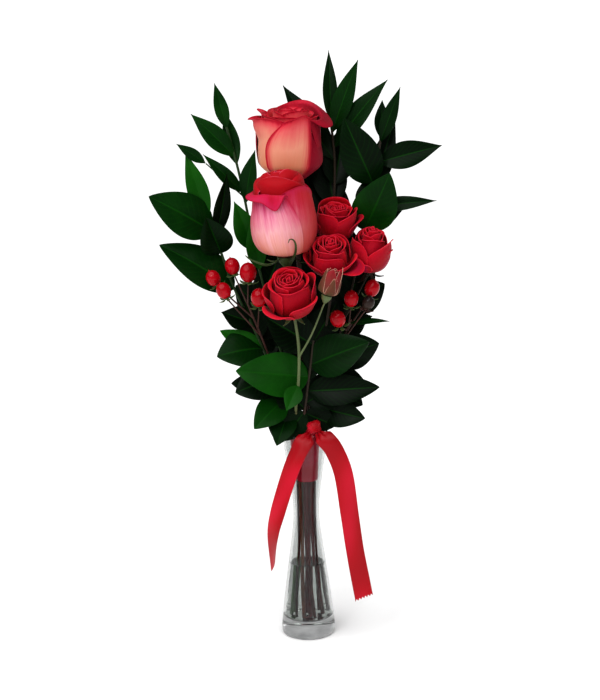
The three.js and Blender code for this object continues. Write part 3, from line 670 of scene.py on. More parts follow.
def leaf_grid(base, tip, width, face=(0, -1, 0.3), bend=0.08, fold=0.25, shape="lance", wave=0.5,
              petiole=1.2):
    """An arched leaf from base to tip; its upper side looks towards `face`."""
    rows, columns = 30, 13
    base, tip = np.asarray(base, float), np.asarray(tip, float)
    length = np.linalg.norm(tip - base)
    line = (tip - base) / length
    upper = unit(np.asarray(face, float) - line * np.dot(face, line))
    middle = (base + tip) / 2 + upper * bend * length
    phase = rng.random() * TURN
    grid = np.zeros((rows, columns, 3))
    for i, u in enumerate(np.linspace(0, 1, rows)):
        point = (1 - u) ** 2 * base + 2 * u * (1 - u) * middle + u * u * tip
        tangent = unit(2 * (1 - u) * (middle - base) + 2 * u * (tip - middle))
        side = unit(np.cross(tangent, upper))
        normal = np.cross(side, tangent)
        half = max(petiole / 2 * (1 - 0.7 * u), width / 2 * float(LEAF_SHAPES[shape](min(u, 0.9999))))
        for j, v in enumerate(np.linspace(-1, 1, columns)):
            lift = abs(v) * half * fold * (1 - 0.35 * v * v)
            ripple = wave * v * v * math.sin(7 * u + phase + v) * min(1, half / 6)
            grid[i, j] = point + side * v * half + normal * (lift + ripple)
    return grid


def leaf(at, tip, width, tone=None, **shape):
    """at: the height on its stem that a leaf grows from, or a point. Without a tone it gets a random one. The
    low tones that leaves deep in the bunch are given are painted shade.
    """
    return dict(at=at, tip=tip, width=width, tone=tone, **shape)


def broad_leaf(at, tip, width, tone=None, **shape):
    return leaf(at, tip, width, tone, shape="broad", **shape)


def painted_shade_leaf(at, tip, width, tone=0.1, face=(0, -1, 0.2), bend=0):
    """A broad leaf in the depth of the bunch, dark with painted shade from its low tone."""
    return broad_leaf(at, tip, width, tone, face=face, bend=bend)


def add_leaf(build, path, radius, at, tip, width, tone, **shape):
    """One leaf of a sprig, from the skin of its stem."""
    root = point_at(path, at) if np.ndim(at) == 0 else np.asarray(at, float)
    out = unit(np.asarray(tip) - root)
    grid = leaf_grid(root + out * radius * 0.5, tip, width * LEAF_FULLNESS, **shape)
    chance = 0.25 + 0.5 * rng.random()
    build.sheet(grid[:, ::-1], LEAF_THICKNESS, tone=chance if tone is None else tone)


def make_leaves(name, path, radius, leaves, replaces=()):
    build = Builder()
    for each in leaves:
        add_leaf(build, path, radius, **each)
    build.make(name, "leaf", replaces)


def make_foliage_leaves(name, path, radius, leaves, small):
    """Each leaf with a node of its own becomes a piece that stands for it; the small ones make one piece."""
    for n, each in enumerate(leaves, 1):
        make_leaves(f"{name}_blade_{n}", path, radius, [each], [f"{name}_leaf_{n}"])
    if small:
        make_leaves(f"{name}_small_leaves", path, radius, small)


# ---- blooms

HEART_PETAL, ROSE_PETAL, SPRAY_PETAL, BUD_PETAL, SEPAL, STRAP = 0.5, 0.6, 0.55, 0.45, 0.5, 0.6  # thicknesses
CUP = [(0, 0.36), (0.04, 0.62), (0.09, 0.84), (0.18, 0.97), (0.3, 1.04), (0.45, 1.05), (0.6, 0.99),
       (0.7, 0.94), (0.82, 0.87), (1, 0.8), (1.3, 0.66)]  # shares of a bloom's height and radius
CUP_CURVE = catmull([(rise, share, 0) for rise, share in CUP], 12)
PETAL_FOOT = 1.5  # how high above the bloom's foot a wrapped petal starts


def cup_share(rise, fullness):
    """The outside of a bloom as a share of its radius, from its base (0) to its rim (1)."""
    closing = 0.55 + 0.45 * smooth(0, max(0.05, 0.41 - 0.31 * fullness), rise)
    return float(np.interp(rise, CUP_CURVE[:, 0], CUP_CURVE[:, 1]) ** fullness * closing)


def from_polar(grid):
    """A grid of points from one of distances from the axis, angles and heights."""
    away, angle, height = grid[..., 0], grid[..., 1], grid[..., 2]
    return np.stack([away * np.cos(angle), away * np.sin(angle), height], axis=2)


def wrapped_petal(cup, rim, base, length, angle, bulge=(0, 0), ruffle=0.35, offset=0.0, tight=8.0, rows=40,
                  columns=33, corner=0.0, flare=0.4):
    """A petal that wraps a bloom's cup, given as radius, height and fullness. rim: (heading, height, radius)
    where it leaves the cup, from its left edge to its right. base: its two headings at the foot. length and
    angle: how far and how steeply the rim rolls out, in mm and degrees from upright. tight: the run in mm
    that it takes to turn. bulge: how far each side swells between foot and rim, in degrees. offset: how far
    it stands off the cup. corner: how much the rim's two ends are rounded off. flare: the share of the
    height from which it leaves the cup."""
    width, height, fullness = cup
    headings, heights, radii = (spread([point[k] for point in rim], columns) for k in range(3))
    heights = heights * (1 - corner * np.abs(np.linspace(-1, 1, columns)) ** 7)
    lengths, angles = spread(length, columns), spread(angle, columns)
    phase = rng.random() * TURN
    body = int(rows * 0.6)
    grid = np.zeros((rows, columns, 3))
    for j, v in enumerate(np.linspace(-1, 1, columns)):
        foot = base[0] + (base[1] - base[0]) * j / (columns - 1)
        swell = (-bulge[0] if v < 0 else bulge[1]) * abs(v) ** 1.5
        extra = radii[j] - width * cup_share(heights[j] / height, fullness) - offset
        ripple = ruffle * math.sin(5 * v + phase)
        for i in range(body):
            u = i / (body - 1)
            z = PETAL_FOOT + (heights[j] - PETAL_FOOT) * u
            heading = foot + (headings[j] - foot) * u + swell * math.sin(math.pi * u**1.6)
            r = width * cup_share(z / height, fullness) + offset * min(1, 4 * u)
            r += extra * float(smooth(flare, 1, u))
            grid[i, j] = (r + ripple * float(smooth(0.5, 1, u)), math.radians(heading), z)
        away, _, up = grid[body - 1, j] - grid[body - 3, j]
        lean = math.atan2(away, up)
        step = max(0.6, lengths[j]) / (rows - body)
        for i in range(body, rows):
            run = (i - body + 1) * step
            turn = lean + (math.radians(angles[j]) - lean) * float(smooth(0, tight, run))
            r, z = r + math.sin(turn) * step, z + math.cos(turn) * step
            grid[i, j] = (r + ripple * (1 + 0.12 * run), math.radians(headings[j]), z)
    return from_polar(grid)


def strap(points, widths, facing):
    """A narrow leaf along a curve; widths are even along it and its upper side looks towards `facing`."""
    rows, columns, fold = 24, 7, 0.2
    line = catmull(points, 10)
    line = np.stack([resample(line[:, k], rows) for k in range(3)], 1)
    grid = np.zeros((rows, columns, 3))
    for i, (point, tangent, width) in enumerate(zip(line, np.gradient(line, axis=0), spread(widths, rows))):
        side = unit(np.cross(tangent, facing))
        normal = np.cross(side, unit(tangent))
        half = max(0.2, width / 2)
        for j, v in enumerate(np.linspace(-1, 1, columns)):
            grid[i, j] = point + side * v * half + normal * abs(v) * half * fold
    return grid


def ring(count, start, share, span, reach, rim, angle, tuck=0.8, point=2.5, drop=0.06, tone=0.5, ruffle=0.3):
    """A ring of `count` petals, the first at the heading `start`, at `share` of the bloom's radius."""
    shape = dict(span=span, reach=reach, rim=rim, angle=angle, tuck=tuck, point=point, drop=drop,
                 ruffle=ruffle)
    return count, start, share, tone, shape


def petal_grid(heading, radius, height, fullness, span, reach, rim, angle, drop, point, tuck, ruffle):
    """A petal round the bloom's axis. Up to `reach` of the height it follows the cup at `radius`, then a rim
    of `rim` mm rolls out to `angle` degrees. point: the shape of its tip. drop: how far its shoulders are
    lowered. tuck: how far one edge goes inside the next petal and the other outside."""
    rows, columns = 30, 21
    body = int(rows * 0.62)
    grid = np.zeros((rows, columns, 3))
    phase = rng.random() * TURN
    for j, v in enumerate(np.linspace(-1, 1, columns)):
        top = reach * (1 - drop * abs(v) ** 2.2)
        step = rim * max(0.03, 1 - abs(v) ** point) / (rows - body)
        rises = [top * i / (body - 1) for i in range(body)]
        trail = [(radius * cup_share(rise, fullness), height * rise) for rise in rises]
        r, z = trail[-1]
        for i in range(rows - body):
            turn = math.radians(angle) * smooth(0, 1, (i + 1) / (rows - body)) * (1 + 0.25 * abs(v))
            r, z = r + math.sin(turn) * step, z + math.cos(turn) * step
            trail.append((r, z))
        for i, (r, z) in enumerate(trail):
            u = i / (rows - 1)
            narrow = math.sin(QUARTER * min(1, 0.55 + 1.1 * u))
            away = r + tuck * v * min(1, 2 * u)
            away += ruffle * math.sin(5 * v + phase) * float(smooth(0.5, 1, u)) * (1 + 2 * u)
            grid[i, j] = (away, math.radians(heading + v * span / 2 * narrow), z)
    return from_polar(grid)


def stand(grid, foot, axis):
    first, second, axis = basis(axis)
    return np.asarray(foot, float) + grid[..., :1] * first + grid[..., 1:2] * second + grid[..., 2:3] * axis


def whorls(build, foot, axis, rings, radius, height, fullness, thickness=HEART_PETAL, part=0.0):
    """Rings of petals from the heart outwards. The face of a petal that looks at the heart is side 1."""
    for count, start, share, tone, shape in rings:
        for k in range(count):
            heading = start + 360 * k / count + rng.uniform(-6, 6)
            changed = dict(shape, reach=shape["reach"] * (1 + rng.uniform(-0.025, 0.025)),
                           angle=shape["angle"] * (1 + rng.uniform(-0.25, 0.25)))
            grid = petal_grid(heading, radius * share, height, fullness, **changed)
            build.sheet(stand(grid, foot, axis), thickness, tone=tone + rng.uniform(-0.08, 0.08), part=part)


def hip(build, foot, axis, radius, height):
    side = [(radius * (0.32 + 0.68 * math.sin(QUARTER * t)), -height + height * t)
            for t in np.linspace(0, 1, 9)]
    build.lathe([(0, -height)] + side + [(radius * 0.8, 0.6), (0, 0.6)], foot, axis, sides=24)


def sepal(build, foot, axis, heading, radius, length, droop, curl=0.4, width=0.28):
    """A narrow green leaf under a bloom; droop is its angle below level and curl turns its tip up."""
    first, second, axis = basis(axis)
    out = first * math.cos(heading) + second * math.sin(heading)
    base = np.asarray(foot, float) + out * radius * 0.7 - axis * 1.2
    tip = base + out * length * math.cos(droop) - axis * length * math.sin(droop)
    grid = leaf_grid(base, tip, length * width, face=-axis, bend=curl, fold=0.1, wave=0.2,
                     petiole=length * 0.2)
    build.sheet(grid, SEPAL)


def petal(rim, base, length, angle, **more):
    return dict(rim=rim, base=base, length=length, angle=angle, **more)


def add_petal(build, foot, axis, thickness, tone=MID_TONE, part=0.0, sides=True, **shape):
    """One petal that wraps a cup; tone and part are numbers or a few even ones across it."""
    grid = wrapped_petal(**shape)
    tone, part = (np.zeros(grid.shape[1]) + spread(value, grid.shape[1]) for value in (tone, part))
    if shape["base"][1] < shape["base"][0]:
        grid, tone, part = grid[:, ::-1], tone[::-1], part[::-1]
    build.sheet(stand(grid, foot, axis), thickness, tone=tone, part=part, sides=sides)


# ---- large roses

ROSE_NECK, ROSE_HIP, ROSE_HIP_HEIGHT = 8, 8.5, 11  # how far below the bloom its stem ends; radius and height
CAD_PETALS = 3  # outer petals of each rose that have a node of their own
UPPER_PETALS = [
    petal([(-107, 58.7, 29.5), (-94, 60.7, 30), (-79, 63.7, 29.5), (-64, 65.7, 29), (-50, 60.7, 28.5)],
          (-132, -58), [1.5, 3, 4, 5, 4], [30, 60, 80, 90, 90], bulge=(20, 2), offset=2.2, tight=4),
    petal([(-215, 56.7, 29), (-190, 56.7, 31), (-171, 56.7, 35), (-142, 59.7, 30), (-100, 59.7, 27)],
          (-208, -118), [2, 5, 7.5, 5, 2], [40, 60, 88, 60, 40], bulge=(6, 4), offset=1.0, tight=6,
          flare=0.66, tone=0.4),
    petal([(122, 61.7, 27), (92, 65.7, 27), (60, 67.7, 27.5), (34, 64.7, 28), (8, 58.7, 27.5),
          (-20, 57.7, 26.5), (-44, 58.7, 25.5)], (120, -10), [3, 4, 7, 12, 15, 14, 5],
          [60, 70, 95, 118, 128, 138, 150], tight=7, ruffle=0.6, tone=0.6,
          part=[0, 0, 0.3, 0.8, 1, 1, 0.9]),
    petal([(96, 50.7, 28), (128, 50.7, 29), (155, 49.7, 30.5), (174, 44.7, 32.4), (186, 35.7, 32)],
          (100, 182), [4, 5, 4, 3, 2], [70, 70, 70, 70, 60], part=1.0, offset=1.2),
    petal([(-68, 52.7, 26), (-46, 53.7, 25), (-24, 52.7, 24), (4, 50.7, 25), (30, 46.7, 26)], (-64, 24),
          [1.5, 2, 2, 2, 2], [10, 10, 10, 20, 30], part=1.0, offset=1.6),
    petal([(112, 59.2, 26), (140, 59.2, 27), (158, 61.2, 28), (174, 58.2, 26.5)], (105, 180), [2, 3, 8, 2],
          [30, 45, 70, 40], tight=6),
]
# The part values across the first two petals bring in the rose's red at their sides; this is partly painted
# shade on the sides of the bloom.
LOWER_PETALS = [
    petal([(-215, 60, 25), (-190, 60, 25.5), (-168, 58.5, 27), (-148, 59.5, 28.5), (-124, 62, 27),
          (-101, 62, 27.5), (-80, 60, 26.5)], (-205, -52), [2, 3, 6, 13, 12, 17, 2],
          [40, 60, 80, 100, 146, 172, 60], bulge=(2, 8), offset=2.1, tight=6, ruffle=0.2, sides=False,
          part=[0.6, 0.6, 0.45, 0.2, 0, 0.12, 0.45]),
    petal([(-118, 54, 25), (-88, 62, 25), (-70, 65, 25.3), (-50, 66.5, 25.5), (-30, 65, 25.5),
          (-8, 60, 25.5), (14, 55, 25)], (-106, 6), [1, 3, 3, 3, 2.5, 1.5, 1.5],
          [20, 30, 35, 40, 40, 40, 40], bulge=(0, 6), offset=0.7, tight=5, tone=[0.5, 0.45, 0.4],
          part=[0, 0.3, 0.5, 0.75, 0.9, 1, 1], sides=False),
    petal([(0, 54, 26), (40, 58, 26), (75, 60, 26), (110, 60, 26), (152, 57, 26)], (0, 150),
          [3, 6, 9, 7, 4], [60, 80, 110, 90, 60], offset=1.2),
]


def make_rose(name, slot, route, foot, axis, cup, rings, petals, sepals, heart_axis=None, straps=()):
    axis = unit(axis)
    path = stem_path(slot, route + [list(foot - axis * ROSE_NECK)])
    wood = Builder()
    stem(wood, path, ROSE_STEM, tone=0.35)
    thorns(wood, path, ROSE_STEM)
    wood.make(f"{name}_stem_body", "rose_stem", [f"{name}_stem"])
    green = Builder()
    hip(green, foot, axis, ROSE_HIP, ROSE_HIP_HEIGHT)
    for each in sepals:
        sepal(green, foot, axis, radius=ROSE_HIP, **each)
    for each in straps:
        green.sheet(stand(strap(**each), foot, axis), STRAP, tone=0.3)
    green.make(f"{name}_calyx", "calyx")
    heart = Builder()
    whorls(heart, foot, axis if heart_axis is None else unit(heart_axis), rings, *cup)
    heart.make(f"{name}_inner_petals", f"{name}_heart", [f"{name}_bloom"])
    for n, each in enumerate(petals, 1):
        build = Builder()
        add_petal(build, foot, axis, ROSE_PETAL, cup=cup, **each)
        stands_for = [f"{name}_outer_petal_{n}"] if n <= CAD_PETALS else []
        build.make(f"{name}_petal_{n}", name, stands_for)


make_rose(
    name="rose_upper", slot=(1.6, 2.4), route=[[3, 3, 240], [3, 6, 300], [-2, 12, 370]],
    foot=(-8.8, 13.5, 450.3), axis=(0.02, -0.16, 1), cup=(28.6, 70.7, 0.42), petals=UPPER_PETALS,
    rings=[
        ring(2, 20, 0.14, 230, 0.9, 3, -35), ring(3, 65, 0.27, 180, 0.9, 4, -15, tone=0.7),
        ring(3, 10, 0.43, 170, 0.91, 5, 5, 1.1, 3.5, 0.04, tone=0.65),
        ring(3, 70, 0.6, 160, 0.9, 5, 15, 1.2, 3.5, 0.04, tone=0.6),
        ring(3, 20, 0.77, 155, 0.87, 5, 20, 1.3, 3, 0.04, tone=0.6),
        ring(3, 85, 0.9, 150, 0.83, 5, 30, 1.3, 3, 0.04, tone=0.6),
    ],
    sepals=[dict(heading=k * FIFTH, length=18, droop=0.9, curl=0.2) for k in range(5)],
)
make_rose(
    name="rose_lower", slot=(-0.2, -3.2), route=[[1, -10, 240], [0, -13, 280], [-6, -19, 325]],
    foot=(-13.9, -32, 385), axis=(-0.03, -0.13, 1), heart_axis=(-0.065, -0.13, 1),
    cup=(27.5, 78.0, 1.0), petals=LOWER_PETALS,
    rings=[
        ring(2, 20, 0.14, 230, 0.96, 3, -60), ring(3, 55, 0.34, 190, 0.96, 8, -80, point=3.5),
        ring(3, 15, 0.56, 175, 0.95, 11, -86, 1.0, point=3),
        ring(3, -45, 0.77, 170, 0.92, 14, -88, 1.5, point=3),
        ring(3, -106, 0.97, 168, 0.87, 14, -84, 2.0, point=3.5, drop=0.02, ruffle=0.6),
    ],
    sepals=[dict(heading=heading, length=20, droop=0.3, curl=0.3) for heading in (0.2, 1.3, 2.4)],
    straps=[
        dict(points=[(4, -9, -2), (6, -15, 1), (8, -22, 6), (9.5, -28, 13), (9.5, -32.5, 20),
                     (7.5, -35.5, 24.5), (4.5, -36.5, 25), (3.2, -36, 22)],
             widths=[2.6, 2.6, 2.1, 1.7, 1.3, 0.9, 0.5], facing=(-0.2, 1, 0.9)),
        dict(points=[(-6, -8, -1), (-12, -13, -3.5), (-18, -16, -4), (-26, -17, -1), (-33, -17, 3),
                     (-37, -17, 7)],
             widths=[5, 8, 7, 4.5, 2.4, 0.6], facing=(0, 0.6, 1)),
    ],
)

# ---- spray roses

SPRAY_NECK, SPRAY_HIP, SPRAY_HIP_HEIGHT, SPRAY_SEPAL = 5.6, 5, 7, 15
SPRAY_RIM = dict(rows=30, columns=23, ruffle=0.25, corner=0.3, tight=5)
ROUND_HEART = [
    ring(2, 0, 0.13, 230, 1.0, 1.5, -25, 0.6), ring(3, 50, 0.27, 170, 1.0, 1.6, -5, 0.7, ruffle=0.2),
    ring(3, 10, 0.41, 165, 1.01, 1.8, 10, 0.7, ruffle=0.2),
    ring(3, 65, 0.55, 160, 1.02, 2.2, 20, 0.8, ruffle=0.2),
    ring(4, 20, 0.7, 135, 1.0, 3.0, 35, 0.9), ring(4, -80, 0.86, 125, 0.86, 4.5, 55, 1.0),
]
HIGH_HEART = [
    ring(2, 0, 0.12, 240, 1.1, 1.5, -40, 0.6, 4, 0.03), ring(3, 50, 0.26, 190, 1.08, 2, -25, 0.8, 4, 0.03),
    ring(3, -85, 0.44, 170, 1.03, 3, -5, 0.9, 3.5, 0.04),
    ring(3, -30, 0.63, 155, 0.97, 3.5, 20, 1.0, 3, 0.05),
    ring(3, 25, 0.8, 145, 0.88, 4, 40, 1.0, 3, 0.05),
]
PETALS_A = [
    petal([(-165, 14, 24), (-140, 16, 28), (-112, 15, 28), (-85, 13, 25)], (-158, -90), [2, 6, 6, 2],
          [60, 100, 95, 60], part=0.6),
    petal([(-95, 18, 24), (-66, 19, 26), (-36, 20, 26), (-10, 18, 24)], (-90, -14), [2, 4, 5, 2],
          [50, 80, 85, 50], tone=0.4),
    petal([(-30, 24, 21.5), (0, 27, 23), (28, 27, 23), (52, 24, 21.5)], (-26, 48), [2, 4, 5, 2],
          [30, 50, 60, 40], tone=0.3, part=0.3),
    petal([(140, 24, 21.5), (170, 25, 23.5), (200, 24, 24), (225, 21, 22)], (145, 215), [2, 3, 4, 2],
          [40, 60, 70, 40]),
    petal([(35, 27, 21), (75, 29, 22), (115, 29, 22), (150, 26, 21)], (40, 146), [2, 3, 3, 2],
          [30, 50, 50, 30]),
]
PETALS_B = [
    petal([(-200, 15, 20), (-172, 17, 23), (-140, 15, 23), (-108, 13, 21)], (-194, -112), [2, 4, 4, 2],
          [50, 75, 75, 50]),
    petal([(-118, 12, 20), (-84, 14, 22.5), (-50, 15, 23.5), (-16, 16, 23), (6, 14, 21)], (-112, 0),
          [2, 3, 4, 5, 2], [40, 60, 70, 75, 50], tone=0.45),
    petal([(0, 19, 18), (35, 22, 19.5), (70, 22, 19.5), (100, 19, 18)], (4, 96), [2, 3, 3, 2],
          [40, 60, 60, 40], part=0.3),
    petal([(-72, 7, 18), (-46, 9, 24), (-20, 10, 26), (4, 9, 20)], (-68, 0), [2, 7, 9, 2],
          [70, 118, 120, 70], part=0.8),
    petal([(95, 20, 18), (130, 22, 19), (160, 21, 19), (185, 17, 18)], (98, 180), [2, 3, 3, 2],
          [40, 60, 60, 40]),
    petal([(-150, 20, 16.5), (-115, 22, 17.5), (-75, 22, 17.5), (-40, 20, 16.5)], (-145, -45), [2, 3, 3, 2],
          [30, 45, 45, 30]),
]
PETALS_C = [
    petal([(-185, 24, 17.5), (-150, 26, 18.5), (-115, 27, 18.5), (-80, 26, 18)], (-180, -85), [2, 3, 3, 2],
          [30, 50, 50, 30]),
    petal([(-100, 20, 18), (-68, 23, 18.5), (-34, 26, 19), (0, 27, 19), (25, 25, 18)], (-96, 20),
          [2, 3, 3, 3, 2], [40, 50, 50, 60, 40], tone=0.45),
    petal([(20, 27, 17), (60, 29, 18), (100, 29, 18), (150, 27, 17.5), (180, 24, 17)], (20, 175),
          [2, 3, 3, 3, 2], [20, 40, 40, 30, 20]),
    petal([(-50, 13, 18), (-20, 16, 21), (10, 17, 22), (40, 14, 19)], (-46, 36), [2, 5, 6, 2],
          [60, 85, 90, 60], tone=0.3, part=0.7),
    petal([(-215, 16, 18), (-190, 18, 20.5), (-160, 17, 20.5), (-135, 14, 18)], (-210, -140), [2, 4, 4, 2],
          [50, 70, 70, 50], part=0.5),
]
PETALS_D = [
    petal([(-205, 28, 17.5), (-170, 31, 18), (-135, 31, 18), (-100, 27, 17.5)], (-195, -100), [2, 3, 3, 2],
          [20, 40, 40, 20]),
    petal([(-110, 20, 17), (-75, 26, 18), (-40, 29, 18.5), (-8, 29, 18.5), (16, 24, 17.5)], (-106, 10),
          [2, 3, 4, 6, 2], [30, 35, 45, 55, 40], tight=7, tone=0.4),
    petal([(-70, 14, 16.5), (-40, 19, 18.5), (-12, 19, 19), (14, 15, 17)], (-66, 12), [2, 4, 6, 2],
          [45, 60, 66, 45], tight=7, part=0.6),
    petal([(-175, 10, 15.5), (-145, 13, 18.5), (-112, 13, 19), (-84, 10, 16.5)], (-168, -90), [2, 5, 6, 2],
          [60, 95, 100, 60], part=0.9),
    petal([(15, 27, 17), (60, 31, 18), (110, 31, 18), (155, 28, 17.5)], (15, 155), [2, 3, 3, 2],
          [20, 40, 40, 20]),
]


BUD_HEART = [ring(3, 0, 0.5, 170, 0.9, 4, -35, 0.6), ring(2, 40, 0.25, 200, 0.98, 3, -30, 0.4)]
BUD_SEPALS = [(18, -25, 6), (13, 0, 5), (17, -10, 12), (12, 20, 5), (17, -15, 7)]  # height, lean, length


def make_bud(bud):
    """A closed bud: twisted petals in long sepals with pale edges."""
    foot, axis, cup = bud["foot"], unit(bud["axis"]), bud["cup"]
    build = Builder()
    for k in range(4):
        heading = 90 * k - 20
        rim = [(heading - 60, 13, 8.4), (heading - 20, 18, 8), (heading + 20, 19, 7.6), (heading + 60, 14, 8)]
        add_petal(build, foot, axis, BUD_PETAL, rim=rim, base=(heading - 60, heading + 60),
                  length=[2, 6, 7, 2], angle=[-10, -42, -48, -10], cup=cup, rows=26, columns=19, ruffle=0.3,
                  tone=0.7)
    whorls(build, foot, axis, BUD_HEART, *cup, part=1.0)
    build.make("spray_rose_bud_petals", "bud", ["spray_rose_bud"])
    green = Builder()
    for k, (tall, lean, length) in enumerate(BUD_SEPALS):
        heading = 72 * k - 150
        rim = [(heading - 27, tall * 0.55, 9.4), (heading, tall, 9), (heading + 27, tall * 0.55, 9.4)]
        add_petal(green, foot, axis, SEPAL, rim=rim, base=(heading - 36, heading + 36),
                  length=[0.6, length, 0.6], angle=[0, lean, 0], cup=cup, offset=0.7, rows=26, columns=15,
                  ruffle=0.12, tone=0.6)
    green.make("spray_rose_bud_sepals", "sepal")


def make_spray(name, bark, slot, route, blooms, buds=(), leaves=()):
    """A stem with its blooms; root is the height on it that a bloom's or a bud's own twig grows from."""
    ends = [bloom["foot"] - unit(bloom["axis"]) * SPRAY_NECK for bloom in (*blooms, *buds)]
    path = stem_path(slot, route + [list(ends[0])])
    green = Builder()
    stem(green, path, SPRAY_STEM, nodes=6)
    for bloom, end in zip((*blooms, *buds), ends):
        foot, axis = bloom["foot"], unit(bloom["axis"])
        if "root" in bloom:
            twig(green, point_at(path, bloom["root"]), end, SPRAY_TWIG, 4)
        hip(green, foot, axis, SPRAY_HIP, SPRAY_HIP_HEIGHT)
        for k in range(0 if bloom in buds else 5):
            sepal(green, foot, axis, k * FIFTH + 0.3, SPRAY_HIP, SPRAY_SEPAL, 0.3 + 0.3 * rng.random())
    green.make(f"{name}_stem_body", bark, [f"{name}_stem"])
    if leaves:
        make_leaves(f"{name}_leaves", path, SPRAY_STEM, leaves)
    for bloom in blooms:
        build = Builder()
        foot, axis, cup = bloom["foot"], unit(bloom["axis"]), bloom["cup"]
        whorls(build, foot, axis, bloom["rings"], *cup, thickness=SPRAY_PETAL)
        for each in bloom["petals"]:
            add_petal(build, foot, axis, SPRAY_PETAL, cup=cup, **{**SPRAY_RIM, **each})
        build.make(f"{bloom['name']}_petals", "spray", [f"{bloom['name']}_bloom"])
    for bud in buds:
        make_bud(bud)


make_spray(
    name="spray_rose_front", bark="spray_stem", slot=(-5.1, -4.6),
    route=[[-8, -19, 236], [-5, -33, 264], [-4, -39, 300]],
    blooms=[
        dict(name="spray_rose_a", foot=(-8.5, -47, 338), axis=(-0.1, -0.54, 0.83), cup=(21.5, 36, 0.9),
             rings=ROUND_HEART, petals=PETALS_A),
    ],
    buds=[dict(foot=(22.5, -62, 352), axis=(0.3, 0, 0.95), cup=(8.8, 22.5, 0.8), root=290)],
    leaves=[leaf(262, (-17, -46, 240), 16, 0.8)],
)
make_spray(
    name="spray_rose_back", bark="brown_stem", slot=(4.9, -3.8),
    route=[[12, -9, 245], [20, -15, 300], [27, -22, 345]],
    blooms=[
        dict(name="spray_rose_b", foot=(27, -30, 373), axis=(-0.02, -0.56, 0.83), cup=(19, 29, 0.9),
             rings=HIGH_HEART, petals=PETALS_B),
        dict(name="spray_rose_c", foot=(32.5, -4, 399), axis=(0.03, -0.34, 0.94), cup=(17.5, 28.5, 0.9),
             rings=ROUND_HEART, petals=PETALS_C, root=300),
        dict(name="spray_rose_d", foot=(63.5, -12, 368), axis=(0.07, -0.34, 0.93), cup=(17, 38, 1.4),
             rings=HIGH_HEART, petals=PETALS_D, root=290),
    ],
)

# ---- hypericum

BERRY_WIDTH, BERRY_HEIGHT = 15.2, 17.6
CALYX_RADIUS, CALYX_HEIGHT, CALYX_LIFT = 3.2, 2.6, 0.8


def make_hypericum(name, slot, route, berries, spent=None, leaves=(), small=()):
    """berries: the centre of each, the height on the stem that its twig grows from, and its size as a share;
    spent: the number of the dried one."""
    path = stem_path(slot, route)
    wood = Builder()
    stem(wood, path, HYPERICUM_STEM, nodes=8)
    for n, (centre, root, size) in enumerate(berries, 1):
        centre = np.asarray(centre, float)
        start = point_at(path, root)
        axis = unit(unit(centre - start) + np.array([0, 0, 0.6]))
        foot = centre - axis * BERRY_HEIGHT * size / 2
        twig(wood, start, foot - axis * 1.5, BERRY_TWIG)
        make_berry(f"{name}_berry_{n}", foot, axis, size, n == spent)
    wood.make(f"{name}_stem_body", "woody", [f"{name}_stem"])
    make_foliage_leaves(name, path, HYPERICUM_STEM, leaves, small)


def make_berry(name, foot, axis, size, spent):
    calyx = Builder()
    base = foot + axis * CALYX_LIFT
    hip(calyx, base, axis, CALYX_RADIUS, CALYX_HEIGHT)
    for k in range(5):
        sepal(calyx, base, axis, k * FIFTH, CALYX_RADIUS, 7.5 * size, -0.15, curl=0.3, width=0.5)
    calyx.make(f"{name}_calyx", "woody" if spent else "calyx")
    length, width = BERRY_HEIGHT * size, BERRY_WIDTH * size / 2
    profile = [(width * math.sin(math.pi * t) ** 0.92, length * (1 - math.cos(math.pi * t)) / 2)
               for t in np.linspace(0.02, 0.96, 26)]
    profile = [(0, 0)] + profile + [(0.5, length + 0.3), (0.25, length + 1.2), (0, length + 1.3)]
    berry = Builder()
    berry.lathe(profile, foot, axis, sides=36, lobes=0.012)
    berry.make(f"{name}_fruit", "spent" if spent else "berry", [name])


make_hypericum(
    name="hypericum_left", slot=(-7.6, -1.8), route=[[-18, -9, 236], [-34, -14, 290], [-52, -20, 340]],
    berries=[((-83, -22, 364), 324, 0.88), ((-73, -34, 354), 306, 0.9), ((-65, -16, 374), 332, 0.93),
             ((-50, -24, 369), 338, 1.06), ((-40, -36, 347), 314, 1.02)],
    leaves=[
        broad_leaf(242, (-48, -34, 220), 26, face=(-0.2, -1, 0.3), bend=0.1),
        broad_leaf(228, (-27, -34, 203), 22, face=(-0.1, -1, 0.3), bend=0.14),
    ],
)
make_hypericum(
    name="hypericum_right", slot=(8.4, -0.6), route=[[18, -6, 236], [32, -14, 285], [46, -22, 322]],
    berries=[((66, -20, 351), 308, 0.94), ((46, -30, 343), 316, 0.9), ((33, -34, 325), 311, 0.97),
             ((62, -30, 339), 300, 0.75)],
    spent=4,
    small=[
        broad_leaf(232, (58, -26, 226), 26, 0.12, face=(0.2, -1, 0.1), bend=0.12),
        leaf(318, (82, -26, 320), 7, face=(0, -0.6, 0.8)),
    ],
)

# ---- foliage


def painted_shade_leaves(*rows):
    """Leaves in the depth of the bunch, dark with painted shade: at, tip and width of each, and the tone of
    some.
    """
    return [painted_shade_leaf(*row) for row in rows]


def make_foliage(name, bark, slot, route, leaves, small, twigs=()):
    path = stem_path(slot, route)
    wood = Builder()
    stem(wood, path, FOLIAGE_STEM, nodes=9)
    for height, end in twigs:
        twig(wood, point_at(path, height), end, FOLIAGE_TWIG)
    wood.make(f"{name}_stem_body", bark, [f"{name}_stem"])
    make_foliage_leaves(name, path, FOLIAGE_STEM, leaves, small)


